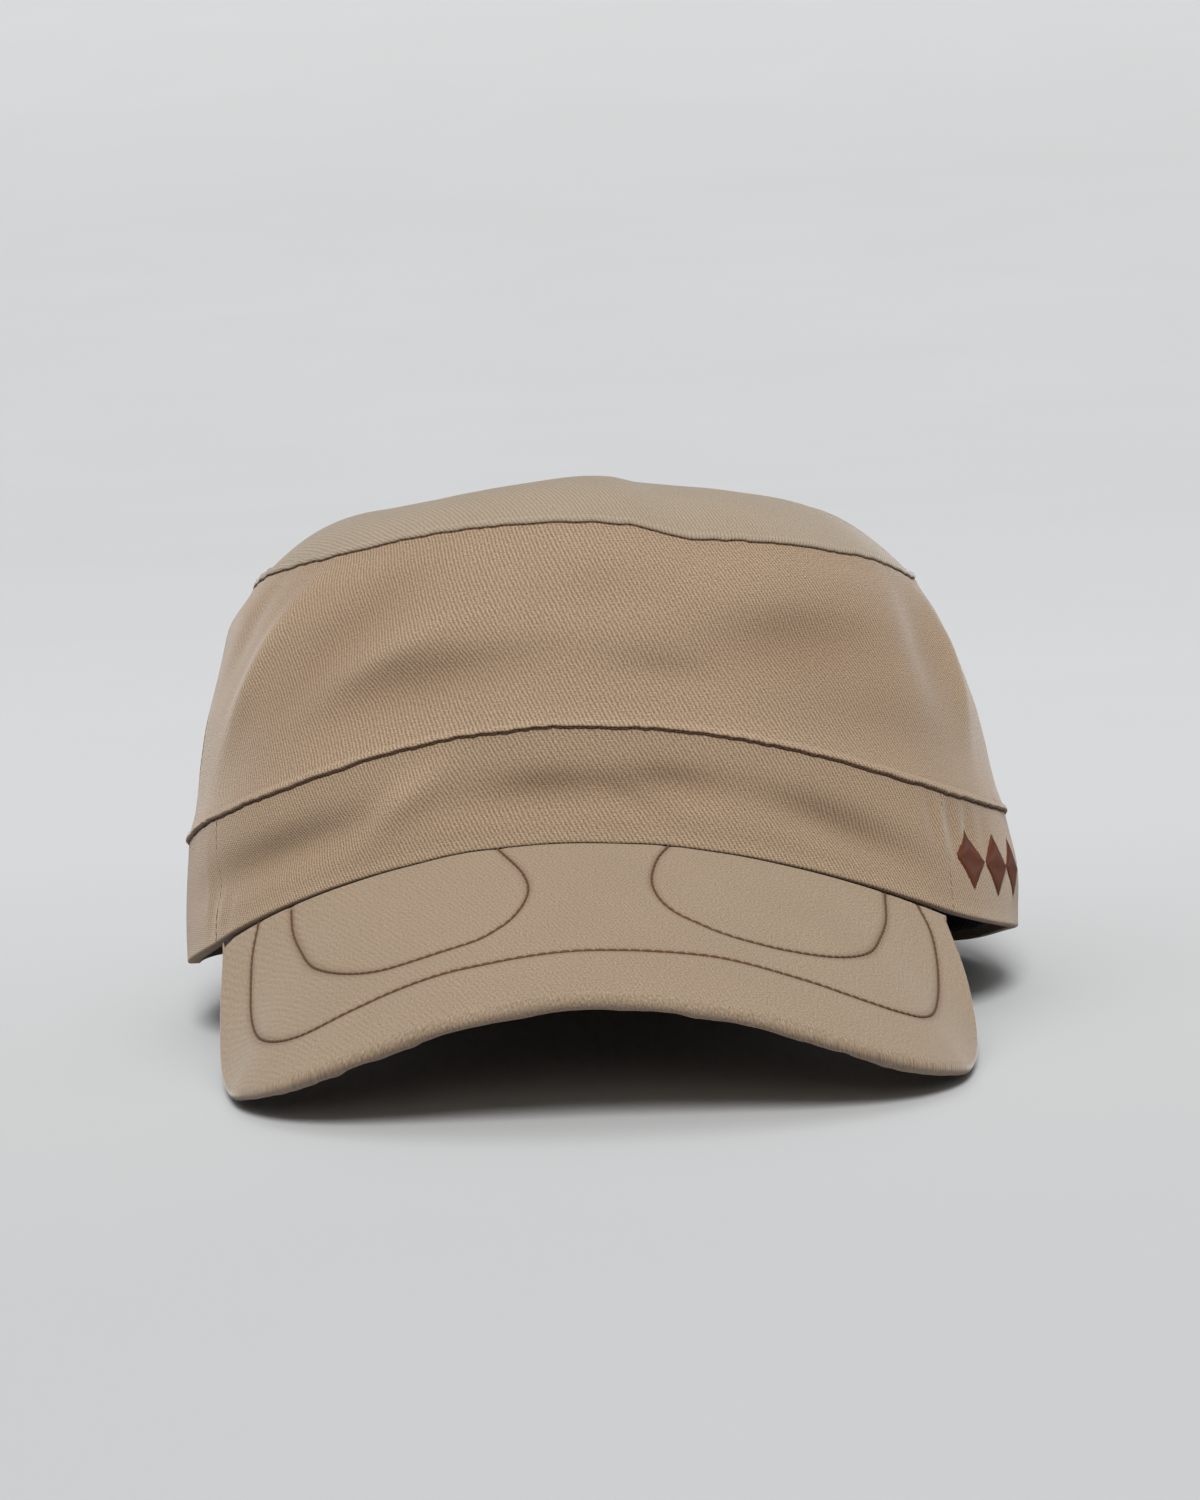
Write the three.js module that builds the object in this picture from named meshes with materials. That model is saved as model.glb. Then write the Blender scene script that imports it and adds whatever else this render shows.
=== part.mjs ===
// A cadet cap in cotton twill, resting on a flat surface on the back of its hem and the two
// corners of its peak. Units are millimetres and +Z is up. The peak points along -Y and +X is
// the wearer's left. The origin is under the middle of the whole cap, on the surface.
import * as THREE from 'three';

// ---- Driving dimensions ----
const ORIGIN_SHIFT_X = -0.2;      // from the middle of the head oval to the middle of the cap
const ORIGIN_SHIFT_Y = 31.3;
const HEM_HALF_WIDTH = 86;
const HEM_FRONT_DEPTH = 98.9;
const HEM_BACK_DEPTH = 100;
const SEAM_HALF_WIDTH = 84.4;     // band seam, between the band and the crown wall
const SEAM_FRONT_DEPTH = 98.9;
const SEAM_BACK_DEPTH = 99;
const TOP_HALF_WIDTH = 67.8;      // top seam, between the crown wall and the top panel
const TOP_FRONT_DEPTH = 76.2;
const TOP_BACK_DEPTH = 85;
const BAND_OVAL_POWER = 2.02;     // 2 is an ellipse, more is squarer
const TOP_OVAL_POWER = 2.2;
const DOME_HEIGHT = 18.6;         // of the top panel over its seam
const DOME_POWER = 4.2;
const DOME_RIM_POWER = 1.6;       // how late the seam's own rise and fall reaches the top panel
const DOME_WAVE_POWER = 4;        // how late its swells die away toward the seam

const CROWN_CLOTH = 1.8;
const TOP_CLOTH = 1.8;
const BAND_CLOTH = 2.4;           // two layers
const SWEATBAND_CLOTH = 1.2;
const PIECE_GAP = 0.3;

const CROWN_SIDE_SEAM = 77;       // degrees from the front, on both sides
const BAND_SIDE_SEAM = 57.5;
const BAND_DIP_SPREAD = 45;       // degrees over which the front's dip fades toward the sides
const FRONT_SWELL_SPREAD = 42;    // the same for the crown wall's fullness in front
const WALL_FOLD_FADE = 0.5;       // how fast the folds end at a panel's edges, less is faster
const BAND_FOLD_FADE = 0.7;
const INNER_FOLLOWS_SLOPE = 0.5;  // how far a panel's inner side is moved along its slope
const SEAM_GAP_DEGREES = 0.11;    // half the gap at a side seam, about 0.16 mm
const SWEATBAND_LOW = 0.08;       // share of the band's height
const SWEATBAND_HIGH = 0.94;
const SWEATBAND_FRONT_LEAN = 4.1; // how far its upper edge stands in from the band at the front
const SWEATBAND_BACK_LEAN = 0.6;
const SWEATBAND_LEAN_SPREAD = 75; // degrees

const PEAK_THICKNESS = 4;
const PEAK_EDGE_ROUND = 1.1;      // bevel at the upper and lower arris of the edge
const PEAK_BEVEL_SHARE = 0.3;     // how far the middle of each bevel is from its corner
const PEAK_FACE_LEAN = 2;         // how far the edge's face leans back under
const PEAK_ROOT_MIDDLE = 1.75;    // the peak is sewn to the band this far each side of here,
const PEAK_ROOT_HALF = 53.75;     // in degrees
const PEAK_TUCK = 4.4;            // how far the root goes in under the hem
const PEAK_TUCK_UP = 1.2;         // how far it turns up behind the band
const PEAK_HEM_GAP = 0.45;        // under the hem at the middle
const PEAK_END_DROP = 1.1;        // further drop at the two ends
const PEAK_END_POWER = 4;         // how late that drop comes
const PEAK_SIDE_SHIFT = 0.056;    // the front edge leans toward +X by this share of its depth
const PEAK_SHIFT_POWER = 10;      // how late that lean dies away toward the ends
const PEAK_TUCK_SLOPE = 0.6;      // the root's underside goes in this far as it rises
const PEAK_TUCK_LOW = 0.7;        // heights of its two lower corners, as shares of the thickness
const PEAK_TUCK_HIGH = 0.3;
const PEAK_ARCH = 1.4;            // rise of the peak's surface between root and edge
const FLAT_LIMIT = 0;             // nothing goes below the surface

// ---- Tables ----
// Heights of the three seams round the cap, by degrees from the front: L toward -X, R toward +X.
// The hem is lifted at the front by the peak and lies flat at the back.
const SEAM_HEIGHTS = [
  { angle: 0, hemL: 45.1, hemR: 45.1, bandL: 66.7, bandR: 66.7, topL: 103.5, topR: 103.5 },
  { angle: 10, hemL: 44.2, hemR: 44.2, bandL: 65.7, bandR: 65.9, topL: 103.1, topR: 102.5 },
  { angle: 20, hemL: 41.3, hemR: 41.5, bandL: 63.1, bandR: 63.5, topL: 101.9, topR: 99.1 },
  { angle: 30, hemL: 37.3, hemR: 37.4, bandL: 59.3, bandR: 59.7, topL: 99.9, topR: 97.8 },
  { angle: 40, hemL: 32.5, hemR: 32.5, bandL: 54.9, bandR: 55.3, topL: 98.0, topR: 96.4 },
  { angle: 50, hemL: 27.2, hemR: 27.2, bandL: 50.7, bandR: 50.4, topL: 96.1, topR: 94.2 },
  { angle: 60, hemL: 21.8, hemR: 22.2, bandL: 46.8, bandR: 46.0, topL: 94.4, topR: 91.9 },
  { angle: 70, hemL: 17.6, hemR: 18.4, bandL: 42.5, bandR: 42.1, topL: 92.1, topR: 89.3 },
  { angle: 80, hemL: 14.3, hemR: 15.3, bandL: 38.9, bandR: 39.2, topL: 90.0, topR: 86.8 },
  { angle: 90, hemL: 12.9, hemR: 12.6, bandL: 36.0, bandR: 36.4, topL: 88.6, topR: 85.6 },
  { angle: 100, hemL: 11.4, hemR: 9.8, bandL: 33.1, bandR: 33.1, topL: 87.6, topR: 84.6 },
  { angle: 120, hemL: 6.2, hemR: 3.5, bandL: 29.2, bandR: 29.2, topL: 85.0, topR: 83.0 },
  { angle: 140, hemL: 0.8, hemR: 0.3, bandL: 26.5, bandR: 26.5, topL: 82.1, topR: 81.3 },
  { angle: 150, hemL: 0.0, hemR: 0.0, bandL: 25.5, bandR: 25.5, topL: 80.5, topR: 80.1 },
  { angle: 165, hemL: 0.0, hemR: 0.0, bandL: 24.7, bandR: 24.7, topL: 78.7, topR: 78.6 },
  { angle: 180, hemL: 0.0, hemR: 0.0, bandL: 24.5, bandR: 24.5, topL: 78.0, topR: 78.0 },
];

// Outward swell of the crown wall, by share of its height, and how much more there is in front: a
// rounded fold stands over the band seam, and the cloth above it is full.
const WALL_SWELL = [
  { share: 0.0, swell: 0.2, front: 0.0 },
  { share: 0.02, swell: 0.9, front: 0.0 },
  { share: 0.05, swell: 0.9, front: 0.0 },
  { share: 0.085, swell: 0.15, front: 0.0 },
  { share: 0.16, swell: 0.4, front: 0.5 },
  { share: 0.32, swell: 1.4, front: 1.6 },
  { share: 0.5, swell: 2.2, front: 2.4 },
  { share: 0.68, swell: 2.3, front: 2.2 },
  { share: 0.85, swell: 1.7, front: 1.3 },
  { share: 1.0, swell: 0.2, front: 0.0 },
];

// Inward dip of the band's front, by share of its height: it is drawn in under the band seam.
const BAND_DIP = [
  { share: 0.0, dip: 0.0 },
  { share: 0.2, dip: 0.0 },
  { share: 0.45, dip: 0.15 },
  { share: 0.7, dip: 0.3 },
  { share: 0.88, dip: 0.5 },
  { share: 1.0, dip: 0.6 },
];

// Dents (minus) and folds (plus) of the crown wall: where, how long each way, how far, and how
// far the long way is turned from level.
const CROWN_FOLDS = [
  { angle: -18, share: 0.27, across: 11, up: 0.1, out: -4.2, lean: 3 },
  { angle: -29, share: 0.65, across: 10, up: 0.08, out: -2.6, lean: 24 },
  { angle: -20, share: 0.49, across: 8, up: 0.05, out: 0.9, lean: 14 },
  { angle: 33, share: 0.51, across: 11, up: 0.13, out: -4.2, lean: 8 },
  { angle: 14.5, share: 0.28, across: 5, up: 0.06, out: -1.8, lean: 0 },
  { angle: 5.5, share: 0.69, across: 6, up: 0.08, out: -1.3, lean: 0 },
  { angle: -45, share: 0.68, across: 7, up: 0.05, out: 2.2, lean: 34 },
  { angle: -56, share: 0.84, across: 6, up: 0.09, out: -1.4, lean: 40 },
  { angle: -90, share: 0.9, across: 22, up: 0.09, out: 2.6, lean: 0 },
  { angle: 59, share: 0.78, across: 5, up: 0.13, out: -1.5, lean: 76 },
  { angle: 67, share: 0.72, across: 6, up: 0.085, out: 2.2, lean: 78 },
  { angle: 52, share: 0.22, across: 16, up: 0.11, out: -1.7, lean: 0 },
];

// The same for the band, with its fuller sides in the first two rows.
const BAND_FOLDS = [
  { angle: 90, share: 0.52, across: 22, up: 0.34, out: 1.3, lean: 0 },
  { angle: -92, share: 0.5, across: 22, up: 0.34, out: 0.4, lean: 0 },
  { angle: -42, share: 0.47, across: 12, up: 0.14, out: -2.8, lean: 0 },
  { angle: -20, share: 0.56, across: 6, up: 0.1, out: 2.2, lean: 52 },
  { angle: -1, share: 0.42, across: 6.5, up: 0.14, out: -3.0, lean: 0 },
  { angle: 15, share: 0.52, across: 4.5, up: 0.12, out: -2.3, lean: 0 },
  { angle: 10, share: 0.33, across: 4, up: 0.07, out: -1.2, lean: -45 },
  { angle: 38, share: 0.42, across: 9, up: 0.13, out: -2.8, lean: -14 },
];

// Broad swells of the top panel.
const DOME_WAVES = [
  { x: 6, y: 5, wide: 9, long: 40, rise: 2.2 },
  { x: -22, y: 0, wide: 15, long: 45, rise: -2.0 },
  { x: 31, y: 5, wide: 12, long: 40, rise: -0.9 },
  { x: -55, y: 0, wide: 9, long: 50, rise: 0.9 },
  { x: 54, y: 0, wide: 9, long: 50, rise: 1.0 },
];

// Upper line of the peak's edge, from the middle (0) to its end at the band (1).
const PEAK_EDGE = [
  { along: 0.0, x: 0, y: -163.0, z: 25.8 },
  { along: 0.17, x: 23.0, y: -159.8, z: 22.3 },
  { along: 0.34, x: 44.0, y: -150.5, z: 14.3 },
  { along: 0.5, x: 58.2, y: -137.0, z: 7.7 },
  { along: 0.64, x: 66.5, y: -119.0, z: 3.3 },
  { along: 0.71, x: 68.4, y: -108.5, z: 1.7 },
  { along: 0.77, x: 70.1, y: -98.0, z: 2.0 },
  { along: 0.83, x: 71.4, y: -87.5, z: 5.4 },
  { along: 0.89, x: 72.0, y: -76.5, z: 11.0 },
  { along: 1.0, x: 71.2, y: -58.5, z: 22.4 },
];

// ---- Small helpers ----
const RADIANS = Math.PI / 180;
const vector = (x, y, z) => new THREE.Vector3(x, y, z);
const clamp = (value, low, high) => Math.min(high, Math.max(low, value));
const mix = (from, to, share) => from + (to - from) * share;
const wrap = (angle) => angle - 360 * Math.round(angle / 360);

function signedPower(value, power) {
  return Math.sign(value) * Math.abs(value) ** (2 / power);
}

// A smooth curve through one column of a table. It doesn't overshoot between rows. It is level
// at an end row unless that end is open.
function readTable(rows, key, column, at, openStart = false, openEnd = false) {
  const last = rows.length - 1;
  if (at <= rows[0][key]) return rows[0][column];
  if (at >= rows[last][key]) return rows[last][column];
  let i = 0;
  while (at > rows[i + 1][key]) i += 1;
  const slope = (k) => (rows[k + 1][column] - rows[k][column]) / (rows[k + 1][key] - rows[k][key]);
  const tangent = (k) => {
    if (k === 0) return openStart ? slope(0) : 0;
    if (k === last) return openEnd ? slope(last - 1) : 0;
    const before = slope(k - 1);
    const after = slope(k);
    return before * after <= 0 ? 0 : (2 * before * after) / (before + after);
  };
  const step = rows[i + 1][key] - rows[i][key];
  const t = (at - rows[i][key]) / step;
  const from = rows[i][column];
  const to = rows[i + 1][column];
  return (2 * t ** 3 - 3 * t ** 2 + 1) * from + (t ** 3 - 2 * t ** 2 + t) * step * tangent(i)
    + (3 * t ** 2 - 2 * t ** 3) * to + (t ** 3 - t ** 2) * step * tangent(i + 1);
}

function bell(distance, spread) {
  return Math.exp(-0.5 * (distance / spread) ** 2);
}

// Sum of the folds in a table at one angle and share of the height.
function foldsAt(rows, angle, share) {
  const DEGREES_PER_SHARE = 25;   // so that a lean turns true distances
  let out = 0;
  for (const row of rows) {
    const cos = Math.cos(row.lean * RADIANS);
    const sin = Math.sin(row.lean * RADIANS);
    const along = wrap(angle - row.angle);
    const up = (share - row.share) * DEGREES_PER_SHARE;
    out += row.out * bell(along * cos + up * sin, row.across)
      * bell(up * cos - along * sin, row.up * DEGREES_PER_SHARE);
  }
  return out;
}

// ---- The three seam ovals ----
function ovalPoint(angle, halfWidth, front, back, power, height) {
  const s = Math.sin(angle * RADIANS);
  const c = Math.cos(angle * RADIANS);
  const depth = c > 0 ? front : back;
  return vector(halfWidth * signedPower(s, power), -depth * signedPower(c, power), height);
}

function seamHeight(seam, angle) {
  const at = wrap(angle);
  return readTable(SEAM_HEIGHTS, 'angle', seam + (at < 0 ? 'L' : 'R'), Math.abs(at));
}

function hemPoint(angle) {
  const height = seamHeight('hem', angle);
  return ovalPoint(angle, HEM_HALF_WIDTH, HEM_FRONT_DEPTH, HEM_BACK_DEPTH, BAND_OVAL_POWER, height);
}

function bandSeamPoint(angle) {
  const height = seamHeight('band', angle);
  return ovalPoint(angle, SEAM_HALF_WIDTH, SEAM_FRONT_DEPTH, SEAM_BACK_DEPTH, BAND_OVAL_POWER, height);
}

function topSeamPoint(angle) {
  const height = seamHeight('top', angle);
  return ovalPoint(angle, TOP_HALF_WIDTH, TOP_FRONT_DEPTH, TOP_BACK_DEPTH, TOP_OVAL_POWER, height);
}

function levelOutward(angle) {
  const before = bandSeamPoint(angle - 0.5);
  const after = bandSeamPoint(angle + 0.5);
  return vector(after.y - before.y, before.x - after.x, 0).normalize();
}

// ---- Outer surfaces. Each takes an angle and a share of its height. ----
function wallSurface(angle, share) {
  const lowGap = PIECE_GAP / 2;
  const low = bandSeamPoint(angle);
  const high = topSeamPoint(angle);
  low.z += lowGap;
  const point = low.lerp(high, share);
  const fade = Math.sin(Math.PI * share) ** WALL_FOLD_FADE;
  const folds = foldsAt(CROWN_FOLDS, angle, share) * fade;
  const front = readTable(WALL_SWELL, 'share', 'front', share)
    * bell(wrap(angle), FRONT_SWELL_SPREAD);
  const swell = readTable(WALL_SWELL, 'share', 'swell', share) + front + folds;
  return point.addScaledVector(levelOutward(angle), swell);
}

function bandFolds(angle, share) {
  return foldsAt(BAND_FOLDS, angle, share) * Math.sin(Math.PI * share) ** BAND_FOLD_FADE;
}

function bandSurface(angle, share) {
  const low = hemPoint(angle);
  const high = bandSeamPoint(angle);
  high.z -= PIECE_GAP / 2;
  const point = low.lerp(high, share);
  const dip = readTable(BAND_DIP, 'share', 'dip', share) * bell(wrap(angle), BAND_DIP_SPREAD);
  return point.addScaledVector(levelOutward(angle), bandFolds(angle, share) - dip);
}

// The top panel, by angle and share of the way from its middle to its seam.
function domeSurface(angle, share) {
  const rim = topSeamPoint(angle);
  const middle = mix(topSeamPoint(90).z, topSeamPoint(-90).z, 0.5);
  const point = vector(rim.x * share, rim.y * share, 0);
  point.z = mix(middle, rim.z, share ** DOME_RIM_POWER) + DOME_HEIGHT * (1 - share ** DOME_POWER);
  for (const wave of DOME_WAVES) {
    point.z += wave.rise * (1 - share ** DOME_WAVE_POWER) * bell(point.x - wave.x, wave.wide)
      * bell(point.y - wave.y, wave.long);
  }
  return point;
}

// ---- Building closed solids ----
function normalAt(surface, angle, share, turn) {
  const STEP_ANGLE = 0.4;
  const STEP_SHARE = 0.004;
  const s0 = clamp(share - STEP_SHARE, 0, 1);
  const s1 = clamp(share + STEP_SHARE, 0, 1);
  const along = surface(angle + STEP_ANGLE, share).sub(surface(angle - STEP_ANGLE, share));
  const up = surface(angle, s1).sub(surface(angle, s0));
  return along.cross(up).normalize().multiplyScalar(turn);
}

class SolidBuilder {
  constructor() {
    this.points = [];
    this.faces = [];
  }

  add(point) {
    this.points.push(
      point.x + ORIGIN_SHIFT_X,
      point.y + ORIGIN_SHIFT_Y,
      Math.max(point.z, FLAT_LIMIT),
    );
    return this.points.length / 3 - 1;
  }

  quad(a, b, c, d) {
    this.faces.push(a, b, c, a, c, d);
  }

  // Joins two rows of points, each a list of indices.
  strip(low, high) {
    for (let i = 0; i + 1 < low.length; i += 1) this.quad(low[i], low[i + 1], high[i + 1], high[i]);
  }

  mesh(name, colour, roughness) {
    const geometry = new THREE.BufferGeometry();
    geometry.setAttribute('position', new THREE.Float32BufferAttribute(this.points, 3));
    geometry.setIndex(this.faces);
    geometry.computeVertexNormals();
    const material = new THREE.MeshStandardMaterial({ color: colour, roughness, metalness: 0 });
    const mesh = new THREE.Mesh(geometry, material);
    mesh.name = name;
    return mesh;
  }
}

// Each row of the section is a closed loop: up the outside, then down the inside.
function sweptLoops(loops, closed) {
  const solid = new SolidBuilder();
  const rows = loops.map((loop) => loop.map((point) => solid.add(point)));
  const size = rows[0].length;
  const count = closed ? rows.length : rows.length - 1;
  for (let i = 0; i < count; i += 1) {
    const here = rows[i];
    const next = rows[(i + 1) % rows.length];
    for (let j = 0; j < size; j += 1) {
      const k = (j + 1) % size;
      solid.quad(here[j], next[j], next[k], here[k]);
    }
  }
  if (!closed) {
    capLoop(solid, rows[0], false);
    capLoop(solid, rows[rows.length - 1], true);
  }
  return solid;
}

// Closes one end: the loop's outer half is joined to its inner half.
function capLoop(solid, loop, reversed) {
  const half = loop.length / 2;
  for (let j = 0; j + 1 < half; j += 1) {
    const a = loop[j];
    const b = loop[j + 1];
    const c = loop[loop.length - 2 - j];
    const d = loop[loop.length - 1 - j];
    if (reversed) solid.quad(d, c, b, a);
    else solid.quad(a, b, c, d);
  }
}

function shellLoop(surface, angle, shares, thickness, turn) {
  const outer = shares.map((share) => surface(angle, share));
  const inner = shares.map((share) => {
    const normal = normalAt(surface, angle, share, turn);
    normal.z *= INNER_FOLLOWS_SLOPE;
    return surface(angle, share).addScaledVector(normal.normalize(), -thickness);
  });
  return [...outer, ...inner.reverse()];
}

function shell(surface, fromAngle, toAngle, steps, shares, thickness) {
  const loops = [];
  for (let i = 0; i <= steps; i += 1) {
    loops.push(shellLoop(surface, mix(fromAngle, toAngle, i / steps), shares, thickness, 1));
  }
  return sweptLoops(loops, false);
}

// ---- The crown ----
const WALL_ROWS = [0, 0.02, 0.05, 0.085, 0.17, 0.27, 0.37, 0.5, 0.64, 0.8, 0.92, 1];
const TWILL_COLOUR = 0xa38c74;
const PEAK_COLOUR = 0xa8937b;
const TAPE_COLOUR = 0x1d201f;
const TWILL_ROUGHNESS = 0.9;
const TAPE_ROUGHNESS = 0.85;

function crownFront() {
  const STEPS = 46;
  const edge = CROWN_SIDE_SEAM - SEAM_GAP_DEGREES;
  return shell(wallSurface, -edge, edge, STEPS, WALL_ROWS, CROWN_CLOTH)
    .mesh('crown_front', TWILL_COLOUR, TWILL_ROUGHNESS);
}

function crownBack() {
  const STEPS = 28;
  const edge = CROWN_SIDE_SEAM + SEAM_GAP_DEGREES;
  return shell(wallSurface, edge, 360 - edge, STEPS, WALL_ROWS, CROWN_CLOTH)
    .mesh('crown_back', TWILL_COLOUR, TWILL_ROUGHNESS);
}

// The top panel's rim turns down in a small lip that stands just proud of the wall's top edge.
const DOME_SHARES = [0.16, 0.34, 0.52, 0.68, 0.81, 0.91, 0.97];
const LIP_OUT = 0.5;
const LIP_RISE = 0.9;
const LIP_SHOULDER_IN = 0.6;      // from the lip to where the panel's own curve starts
const LIP_SHOULDER_UP = 0.8;
const LIP_UNDERCUT = 0.3;
const LIP_REACH_IN = 0.2;         // past the wall's inner side
const UNDER_MIDDLE = 0.05;        // nearer the middle, the panel's slope is taken from here

function crownTop() {
  const STEPS = 58;
  const solid = new SolidBuilder();
  const centre = domeSurface(0, 0);
  const topCentre = solid.add(centre);
  const underCentre = solid.add(centre.clone().setZ(centre.z - TOP_CLOTH));
  const rows = [];
  const lift = vector(0, 0, PIECE_GAP);
  for (const share of DOME_SHARES) rows.push((angle) => domeSurface(angle, share).add(lift));
  const lip = (out, rise) => (angle) => {
    const point = topSeamPoint(angle).addScaledVector(levelOutward(angle), out);
    return point.setZ(point.z + rise);
  };
  rows.push(lip(LIP_OUT - LIP_SHOULDER_IN, LIP_RISE + LIP_SHOULDER_UP));
  rows.push(lip(LIP_OUT, LIP_RISE));
  rows.push(lip(LIP_OUT - LIP_UNDERCUT, PIECE_GAP));
  rows.push(lip(-CROWN_CLOTH - LIP_REACH_IN, PIECE_GAP));
  const under = (share) => (angle) => {
    const point = domeSurface(angle, share);
    const normal = normalAt(domeSurface, angle, Math.max(share, UNDER_MIDDLE), -1);
    return point.add(lift).addScaledVector(normal, -TOP_CLOTH);
  };
  for (const share of [...DOME_SHARES].reverse().slice(1)) rows.push(under(share));
  const rings = rows.map((row) => {
    const ring = [];
    for (let i = 0; i < STEPS; i += 1) ring.push(solid.add(row(i * 360 / STEPS - 180)));
    return [...ring, ring[0]];
  });
  for (let i = 0; i < STEPS; i += 1) solid.faces.push(topCentre, rings[0][i], rings[0][i + 1]);
  for (let j = 0; j + 1 < rings.length; j += 1) solid.strip(rings[j + 1], rings[j]);
  const last = rings[rings.length - 1];
  for (let i = 0; i < STEPS; i += 1) solid.faces.push(underCentre, last[i + 1], last[i]);
  return solid.mesh('crown_top', TWILL_COLOUR, TWILL_ROUGHNESS);
}

// ---- The band ----
const BAND_ROWS = [0, 0.04, 0.16, 0.3, 0.43, 0.56, 0.7, 0.84, 0.96, 1];

function bandFront() {
  const STEPS = 40;
  const edge = BAND_SIDE_SEAM - SEAM_GAP_DEGREES;
  return shell(bandSurface, -edge, edge, STEPS, BAND_ROWS, BAND_CLOTH)
    .mesh('band_front', TWILL_COLOUR, TWILL_ROUGHNESS);
}

function bandBack() {
  const STEPS = 30;
  const edge = BAND_SIDE_SEAM + SEAM_GAP_DEGREES;
  return shell(bandSurface, edge, 360 - edge, STEPS, BAND_ROWS, BAND_CLOTH)
    .mesh('band_back', TWILL_COLOUR, TWILL_ROUGHNESS);
}

// The sweatband is sewn along the hem, inside. It goes in with the band's dents and leans a
// little further from it toward its upper edge.
const SWEATBAND_ROWS = [SWEATBAND_LOW, 0.3, 0.43, 0.6, SWEATBAND_HIGH];

function sweatband() {
  const STEPS = 60;
  const loops = [];
  for (let i = 0; i < STEPS; i += 1) {
    const angle = i * 360 / STEPS - 180;
    const spread = bell(angle, SWEATBAND_LEAN_SPREAD);
    const lean = mix(SWEATBAND_BACK_LEAN, SWEATBAND_FRONT_LEAN, spread);
    const at = (share, thickness) => {
      const risen = (share - SWEATBAND_LOW) / (SWEATBAND_HIGH - SWEATBAND_LOW);
      const dent = Math.max(0, -bandFolds(angle, share));
      const depth = BAND_CLOTH + PIECE_GAP + lean * risen + dent + thickness;
      return hemPoint(angle).lerp(bandSeamPoint(angle), share)
        .addScaledVector(levelOutward(angle), -depth);
    };
    const outer = SWEATBAND_ROWS.map((share) => at(share, 0));
    const inner = SWEATBAND_ROWS.map((share) => at(share, SWEATBAND_CLOTH));
    loops.push([...outer, ...inner.reverse()]);
  }
  return sweptLoops(loops, true).mesh('sweatband', TAPE_COLOUR, TAPE_ROUGHNESS);
}

// ---- The peak ----
function peakEdgePoint(along) {
  const at = Math.abs(along);
  const side = along < 0 ? -1 : 1;
  const x = side * readTable(PEAK_EDGE, 'along', 'x', at, true, true);
  const y = readTable(PEAK_EDGE, 'along', 'y', at, false, true);
  const shift = -y * PEAK_SIDE_SHIFT * (1 - at ** PEAK_SHIFT_POWER);
  return vector(x + shift, y, readTable(PEAK_EDGE, 'along', 'z', at, false, true));
}

const peakRootAngle = (along) => PEAK_ROOT_MIDDLE + along * PEAK_ROOT_HALF;

function peakRootPoint(along) {
  const point = hemPoint(peakRootAngle(along));
  point.z -= PEAK_HEM_GAP + PEAK_END_DROP * along ** PEAK_END_POWER;
  return point;
}

// Upper surface of the peak: straight from root to edge, with a slight arch.
function peakSurface(along, share) {
  const point = peakRootPoint(along).lerp(peakEdgePoint(along), share);
  point.z += PEAK_ARCH * (1 - along ** 2) * 4 * share * (1 - share);
  return point;
}

function peakNormal(along, share) {
  const STEP = 0.02;
  const NARROW_END = 0.92;        // past here the peak is too narrow to measure its slope
  const at = clamp(along, -NARROW_END, NARROW_END);
  const s0 = clamp(share - STEP, 0, 1);
  const s1 = clamp(share + STEP, 0, 1);
  const across = peakSurface(at + STEP, share).sub(peakSurface(at - STEP, share));
  const out = peakSurface(at, s1).sub(peakSurface(at, s0));
  return out.cross(across).normalize();
}

const PEAK_ROWS = [0, 0.14, 0.3, 0.46, 0.62, 0.78, 0.9];
const EDGE_SLOPE_FROM = 0.9;      // the peak's slope at its edge is measured from here

function peakLoop(along) {
  const edge = peakSurface(along, 1);
  const out = edge.clone().sub(peakSurface(along, EDGE_SLOPE_FROM)).normalize();
  const normal = peakNormal(along, 1);
  const edgeAt = (back, down) => edge.clone()
    .addScaledVector(out, -back - PEAK_FACE_LEAN * down / PEAK_THICKNESS)
    .addScaledVector(normal, -down);
  const upper = PEAK_ROWS.map((share) => peakSurface(along, share));
  const lower = PEAK_ROWS.map((share) => (
    peakSurface(along, share).addScaledVector(peakNormal(along, share), -PEAK_THICKNESS)
  ));
  const outward = levelOutward(peakRootAngle(along));
  const behind = hemPoint(peakRootAngle(along));
  const behindBand = BAND_CLOTH + 2 * PIECE_GAP;
  const tuckAt = (depth, up) => behind.clone().addScaledVector(outward, -depth)
    .setZ(behind.z + up);
  const round = PEAK_EDGE_ROUND;
  const middle = round * PEAK_BEVEL_SHARE;
  return [
    tuckAt(PEAK_TUCK, PEAK_TUCK_UP),
    tuckAt(behindBand, PEAK_TUCK_UP),
    tuckAt(behindBand, -PEAK_HEM_GAP),
    ...upper,
    edgeAt(round, 0),
    edgeAt(middle, middle),
    edgeAt(0, round),
    edgeAt(0, PEAK_THICKNESS - round),
    edgeAt(middle, PEAK_THICKNESS - middle),
    edgeAt(round, PEAK_THICKNESS),
    ...lower.reverse(),
    tuckAt(behindBand, -PEAK_HEM_GAP - PEAK_THICKNESS),
    tuckAt(behindBand + PEAK_TUCK_SLOPE, -PEAK_HEM_GAP - PEAK_THICKNESS * PEAK_TUCK_LOW),
    tuckAt(PEAK_TUCK, -PEAK_HEM_GAP - PEAK_THICKNESS * PEAK_TUCK_HIGH),
  ];
}

function peak() {
  const STEPS = 42;
  const loops = [];
  for (let i = 0; i <= STEPS; i += 1) loops.push(peakLoop(mix(1, -1, i / STEPS)));
  return sweptLoops(loops, false).mesh('peak', PEAK_COLOUR, TWILL_ROUGHNESS);
}

const cap = new THREE.Group();
cap.add(crownTop(), crownFront(), crownBack(), bandFront(), bandBack(), sweatband(), peak());

export default cap;
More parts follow.
